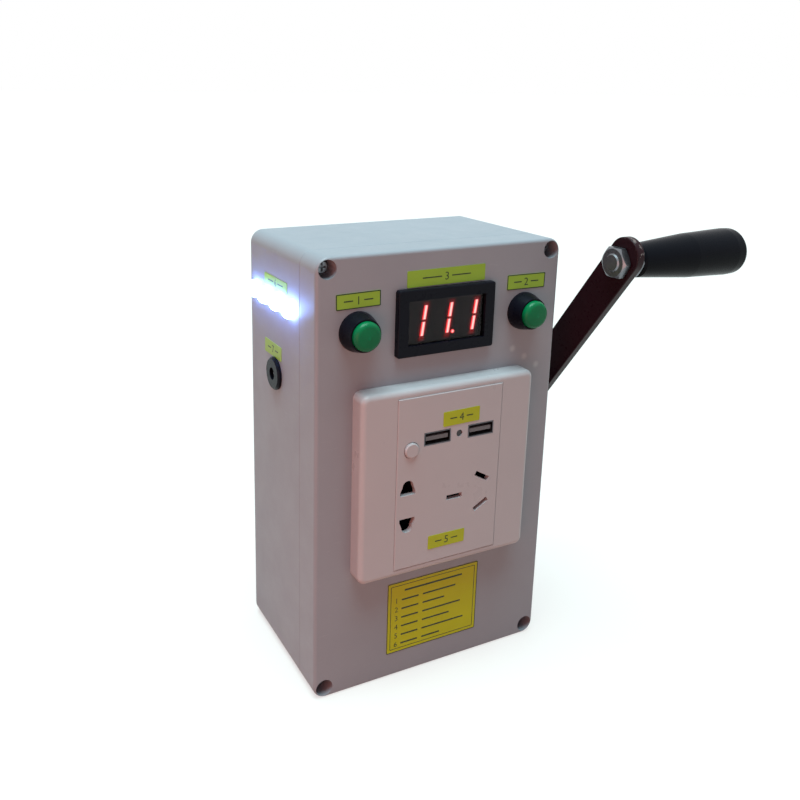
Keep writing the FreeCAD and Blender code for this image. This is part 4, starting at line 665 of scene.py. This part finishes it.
def roundedLoop(width, height, radius, steps=6, along=0):
    # a rectangle with round corners, anticlockwise from its right side: four quarter
    # circles about the inner corners, each with its points along the side that follows;
    # the radius stays just under half a side
    radius = min(radius, 0.499 * width, 0.499 * height)
    turn = np.linspace(0, math.pi / 2, steps)
    arcs = []
    for quarter, (sx, sy) in enumerate(((1, 1), (-1, 1), (-1, -1), (1, -1))):
        angle = turn + quarter * math.pi / 2
        arcs.append(np.stack([sx * (width / 2 - radius) + radius * np.cos(angle),
                              sy * (height / 2 - radius) + radius * np.sin(angle)], -1))
    sides = [np.linspace(arc[-1], after[0], along + 2)[1:-1]
             for arc, after in zip(arcs, arcs[1:] + arcs[:1])]
    return np.vstack([part for pair in zip(arcs, sides) for part in pair])


def onWall(flat, height, wall):
    # flat points and their height over the wall, to the frame
    origin, across, up, out = wall
    height = np.broadcast_to(height, len(flat))[:, None]
    return origin + flat[:, :1] * across + flat[:, 1:2] * up + height * out


def frontWall(x, z, depth, tilt=0.0):
    # a wall that faces the front, turned by tilt degrees in its own plane
    c, s = math.cos(math.radians(tilt)), math.sin(math.radians(tilt))
    return (np.array([x * mm, depth, z * mm]), np.array([c, 0, s]), np.array([-s, 0, c]),
            np.array([0.0, -1.0, 0.0]))


def leftWall(y, z, depth):
    return (np.array([depth, y * mm, z * mm]), np.array([0, -1, 0]), np.array([0, 0, 1]),
            np.array([-1, 0, 0]))


tapeFacts = {
    "thick": 0.16,
    "corner": 0.5,
    "rings": (1.0, 0.9, 0.75, 0.5, 0.25),   # rows of points from the rim to the middle
    "bow": 0.10,        # how far a corner stands off where it was pressed last
    "sunk": 0.02,       # the glue's share in the wall's grain
    "ink": 0.02,
    "under": 0.5,       # share of the ink's height that lies in the tape
    "along": 12,        # points along each side, which carry the bow
    "border": 0.45,
    "innerCorner": 0.6, # share of a corner's radius on the inside of a border
    "figure": 3.4,      # height of a printed number
    "rule": 0.55,       # height of a printed rule
    "ruleCorner": 0.25, # its corner's radius, as a share of that
    "gap": 1.6,         # from the number to the rule beside it
}

tapes = {
    # wall, width, height, finish, number, length of the rule each side, border
    "tape_left_button": (frontWall(-41.2, 181.4, lidFront, 1.0), 20.2, 6.6, "laminatedTape",
                         "1", 4.2, True),
    "tape_right_button": (frontWall(42.1, 181.7, lidFront, -0.6), 20.5, 6.8, "laminatedTape",
                          "2", 4.2, True),
    "tape_meter": (frontWall(0.4, 187.9, lidFront, 0.4), 38.6, 7.0, "laminatedTape",
                   "3", 9.5, False),
    "tape_usb": (frontWall(5.2, 127.3, insertFront, 0.8), 18.5, 6.6, "yellowTape",
                 "4", 3.4, False),
    "tape_outlet": (frontWall(0.0, 70.1, insertFront, -0.5), 18.9, 6.3, "yellowTape",
                    "5", 3.4, False),
    "tape_lamps": (leftWall(4.6, 181.3, sideWall), 26.0, 4.8, "laminatedTape", "6", 6.0, False),
    "tape_jack": (leftWall(8.0, 150.2, sideWall), 19.3, 6.4, "laminatedTape", "7", 3.6, False),
}


def tapeHeight(flat, width, height):
    # a little higher towards two opposite corners: the bow times half of one plus a times
    # b, times a squared times b squared, where a and b are shares of half the width and
    # half the height
    a = flat[:, 0] / (width / 2)
    b = flat[:, 1] / (height / 2)
    lift = tapeFacts["bow"] * (0.5 + 0.5 * a * b) * (a * a * b * b)
    return (tapeFacts["thick"] + lift) * mm


def tapeShape(wall, width, height):
    # a rounded rectangle: from under the wall up to the rim, then in to the middle
    rim = roundedLoop(width, height, tapeFacts["corner"] * mm, along=tapeFacts["along"])
    rows = [onWall(rim, -tapeFacts["sunk"] * mm, wall)]
    for share in tapeFacts["rings"]:
        flat = rim * share
        rows.append(onWall(flat, tapeHeight(flat, width, height), wall))
    return bandShape(np.stack(rows))


def inked(flat, upper, wall, width, height):
    # points of the ink on a tape of that width and height: those of its upper face a
    # hair over the tape and the others in it
    ink = np.where(upper, 1.0, -tapeFacts["under"]) * tapeFacts["ink"] * mm
    return onWall(flat, tapeHeight(flat, width, height) + ink, wall)


def ruleShape(wall, x, z, across, tall, width, height):
    # one printed bar, across by tall
    radius = tapeFacts["ruleCorner"] * min(across, tall)
    rim = roundedLoop(across, tall, radius, steps=3, along=tapeFacts["along"])
    rim = rim + np.array([x, z])
    return bandShape(np.stack([inked(rim, upper, wall, width, height)
                               for upper in (False, True)]))


def borderShape(wall, width, height, inset, wide):
    # a printed frame: an outer and an inner rim, each low and high
    outer, inner = (roundedLoop(width - 2 * step, height - 2 * step,
                                share * tapeFacts["corner"] * mm, along=tapeFacts["along"])
                    for step, share in ((inset, 1.0), (inset + wide, tapeFacts["innerCorner"])))
    return ringShape(np.stack([inked(flat, upper, wall, width, height)
                               for flat, upper in ((outer, False), (outer, True),
                                                   (inner, True), (inner, False))]))


def numberShape(wall, text, x, z, figure, width, height):
    # a plain number: its outline filled and given the ink's thickness, its faces and
    # sides joined, scaled to the height of a figure and set over the tape
    curve = bpy.data.curves.new("number", "FONT")
    curve.body = text
    curve.resolution_u = 3
    curve.extrude = 0.5
    holder = shown(bpy.data.objects.new("number", curve))
    bpy.context.view_layer.update()
    mesh = bpy.data.meshes.new_from_object(holder)
    points = np.empty(3 * len(mesh.vertices))
    mesh.vertices.foreach_get("co", points)
    corners = np.empty(len(mesh.loops), int)
    mesh.loops.foreach_get("vertex_index", corners)
    sizes = np.empty(len(mesh.polygons), int)
    mesh.polygons.foreach_get("loop_total", sizes)
    bpy.data.objects.remove(holder)
    bpy.data.curves.remove(curve)
    bpy.data.meshes.remove(mesh)
    points, joined = np.unique(points.reshape(-1, 3).round(5), axis=0, return_inverse=True)
    corners = joined.ravel()[corners]
    low, top = points.min(0)[:2], points.max(0)[:2]
    flat = (points[:, :2] - (low + top) / 2) * figure / (top - low)[1] + np.array([x, z])
    return inked(flat, points[:, 2] > 0, wall, width, height), corners, sizes


def makeTape(name, wall, width, height, finish, number, rule, border):
    width, height, rule = width * mm, height * mm, rule * mm
    figure = tapeFacts["figure"] * mm
    aside = (tapeFacts["gap"] + tapeFacts["figure"] / 4) * mm + rule / 2
    piece(name, tapeShape(wall, width, height), filmFinishes[finish], "enclosure")
    marks = [numberShape(wall, number, 0.0, 0.0, figure, width, height)]
    for side in (-1, 1):
        marks.append(ruleShape(wall, side * aside, 0.0, rule, tapeFacts["rule"] * mm, width,
                               height))
    if border:
        marks.append(borderShape(wall, width, height, 0.0, tapeFacts["border"] * mm))
    piece(name + "_print", merged(marks), filmFinishes["transferInk"], "enclosure")


for name, facts in tapes.items():
    makeTape(name, *facts)
print("tapes are on:", len(tapes))

labelFacts = {
    "x": 0.3, "z": 30.1, "width": 48.4, "height": 35.8,
    "header": (0.0, 13.2, 31.0, 0.9),     # across, up, width and height of its bar
    "rows": (29.0, 23.0, 32.0, 26.0, 34.0, 21.0),   # lengths of the rules below it
    "top": 8.6, "pitch": 4.5, "left": -19.5, "rule": 0.8, "figure": 2.6,
    "first": 9.0, "break": 2.2,            # each rule's first stretch, and the gap after it
    "borders": ((0.0, 0.35), (1.6, 0.3)),  # inset and width
}


def makeLabel():
    # a header bar, then rows that each begin with their number and end in a rule
    wall = frontWall(labelFacts["x"], labelFacts["z"], lidFront)
    width, height = labelFacts["width"] * mm, labelFacts["height"] * mm
    piece("label_ratings", tapeShape(wall, width, height), filmFinishes["vinylLabel"], "enclosure")
    x, z, wide, high = (value * mm for value in labelFacts["header"])
    marks = [ruleShape(wall, x, z, wide, high, width, height)]
    for row, length in enumerate(labelFacts["rows"]):
        level = (labelFacts["top"] - row * labelFacts["pitch"]) * mm
        left = labelFacts["left"] * mm
        marks.append(numberShape(wall, str(row + 1), left, level, labelFacts["figure"] * mm,
                                 width, height))
        start = labelFacts["left"] + labelFacts["figure"]
        split = labelFacts["first"] + labelFacts["break"]
        for begin, end in ((0.0, labelFacts["first"]), (split, length)):
            marks.append(ruleShape(wall, (start + (begin + end) / 2) * mm, level,
                                   (end - begin) * mm, labelFacts["rule"] * mm, width, height))
    for inset, wide in labelFacts["borders"]:
        marks.append(borderShape(wall, width, height, inset * mm, wide * mm))
    piece("label_ratings_print", merged(marks), filmFinishes["transferInk"], "enclosure")


makeLabel()
print("label is on")

segmentFacts = {
    "figures": 3,
    "lit": 1,               # the figure whose point is lit
    "wide": 6.3,            # from the right bars to the left ones
    "end": 0.5,             # gap between two bars
    "point": 2.0,           # from the right bars to the point
    "thick": 0.12, "sunk": 0.02,
    "corner": 0.35,         # share of the stroke
    "dark": "#241a1c", "patch": 1.0, "rough": 0.5, "shine": 0.2,
}


def unlitResin():
    # unlit bars: milky resin over a dark chip, a shade paler than the face
    material, tree, shader, where = freshMaterial("unlitResin")
    wave = add(tree, "ShaderNodeTexNoise", Vector=where, Scale=perMetre(segmentFacts["patch"]),
               Detail=2.0)
    colour = add(tree, "ShaderNodeMix", colourMix, i0=wave, i6=linear(segmentFacts["dark"]),
                 i7=linear(displayFacts["face"]))
    feed(tree, shader, Base_Color=colour.outputs[2], Roughness=segmentFacts["rough"],
         Specular_IOR_Level=segmentFacts["shine"])
    return material


def makeUnlitSegments():
    # the bars of each figure that stay dark: rounded bars in an upright figure, then
    # sheared by the slant
    low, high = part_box("meter_digits")
    lean = math.tan(math.radians(displayFacts["slant"]))
    middle = (low.z + high.z) / 2
    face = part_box("meter_display")[0].y
    stroke, tall = displayFacts["stroke"] * mm, displayFacts["tall"] * mm
    first = low.x + stroke / 2 + lean * (middle - low.z)
    wide, end, sunk, thick = (segmentFacts[key] * mm for key in ("wide", "end", "sunk", "thick"))
    bars = []
    for figure in range(segmentFacts["figures"]):
        right = first + figure * displayFacts["pitch"] * mm
        level = (tall - stroke) / 2
        bars += [(right - wide / 2, z, wide - stroke - end, stroke) for z in (-level, 0, level)]
        bars += [(right - wide, side * tall / 4, stroke, tall / 2 - stroke)
                 for side in (-1, 1)]
        if figure != segmentFacts["lit"]:
            bars.append((right + segmentFacts["point"] * mm, -level, stroke, stroke))
    wall = frontWall(0.0, middle / mm, face)
    shapes = []
    for x, z, width, length in bars:
        flat = roundedLoop(width, length, segmentFacts["corner"] * stroke, steps=4)
        flat = flat + np.array([x, z])
        flat[:, 0] += lean * flat[:, 1]
        shapes.append(bandShape(np.stack([onWall(flat, height, wall)
                                          for height in (-sunk, thick)])))
    piece("meter_unlit_segments", merged(shapes), unlitResin(), "enclosure")


makeUnlitSegments()

contactFacts = {
    "count": 4, "pitch": 2.3, "wide": 1.0, "long": 7.4, "corner": 0.3,
    "thick": 0.14, "sunk": 0.02,
    "under": 0.92,          # from the shells' middle down to the tongue's underside
    "back": 0.8,            # from the tongue's front
    "shell": 13.2,          # width of one shell
}


def makeUsbContacts():
    # flat springs under each tongue: a rounded rectangle in plan, raised to its thickness
    shells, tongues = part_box("usb_shells"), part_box("usb_tongues")
    pitch, wide, long, corner, thick, sunk, under, back, shell = (
        contactFacts[key] * mm for key in ("pitch", "wide", "long", "corner", "thick", "sunk",
                                           "under", "back", "shell"))
    level = (shells[0].z + shells[1].z) / 2 - under
    plan = roundedLoop(wide, long, corner, steps=3)
    shapes = []
    for centre in (shells[0].x + shell / 2, shells[1].x - shell / 2):
        for strip in range(contactFacts["count"]):
            x = centre + (strip - (contactFacts["count"] - 1) / 2) * pitch
            place = np.array([x, tongues[0].y + back + long / 2, level])
            wall = (place, np.array([-1, 0, 0]), np.array([0, 1, 0]), np.array([0, 0, -1]))
            shapes.append(bandShape(np.stack([onWall(plan, height, wall)
                                              for height in (-sunk, thick)])))
    piece("usb_contact_strips", merged(shapes), bySlot["contact_brass"], "enclosure")


makeUsbContacts()
print("display bars and contact strips are in")

springFacts = {"coils": 5, "wire": 0.35, "steps": 24, "around": 14}


def makeSpring(side):
    # a wire's circles along a helix: each circle is about the radius, in the plane through the
    # axis, and its middle goes back to front by the rise in all its turns
    cap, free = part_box(side + "_button_cap"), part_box(side + "_button_spring")
    middle, wire = (cap[0] + cap[1]) / 2, springFacts["wire"] * mm
    radius = (free[1].x - free[0].x) / 2 - wire
    rise = free[1].y - free[0].y - 2 * wire
    whole = 2 * math.pi * springFacts["coils"]
    turn = np.linspace(0, whole, springFacts["coils"] * springFacts["steps"] + 1)[:, None]
    around = np.linspace(0, 2 * math.pi, springFacts["around"], endpoint=False)
    out = radius + wire * np.cos(around)
    forward = wire + rise * turn / whole - wire * np.sin(around)
    grid = np.stack([middle.x + out * np.cos(turn), free[1].y - forward,
                     middle.z + out * np.sin(turn)], -1)
    spring = piece(side + "_button_coil", bandShape(grid), bySlot["spring_steel"])
    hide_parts(side + "_button_spring")
    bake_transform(spring)


for side in ("left", "right"):
    makeSpring(side)
print("button springs are in")
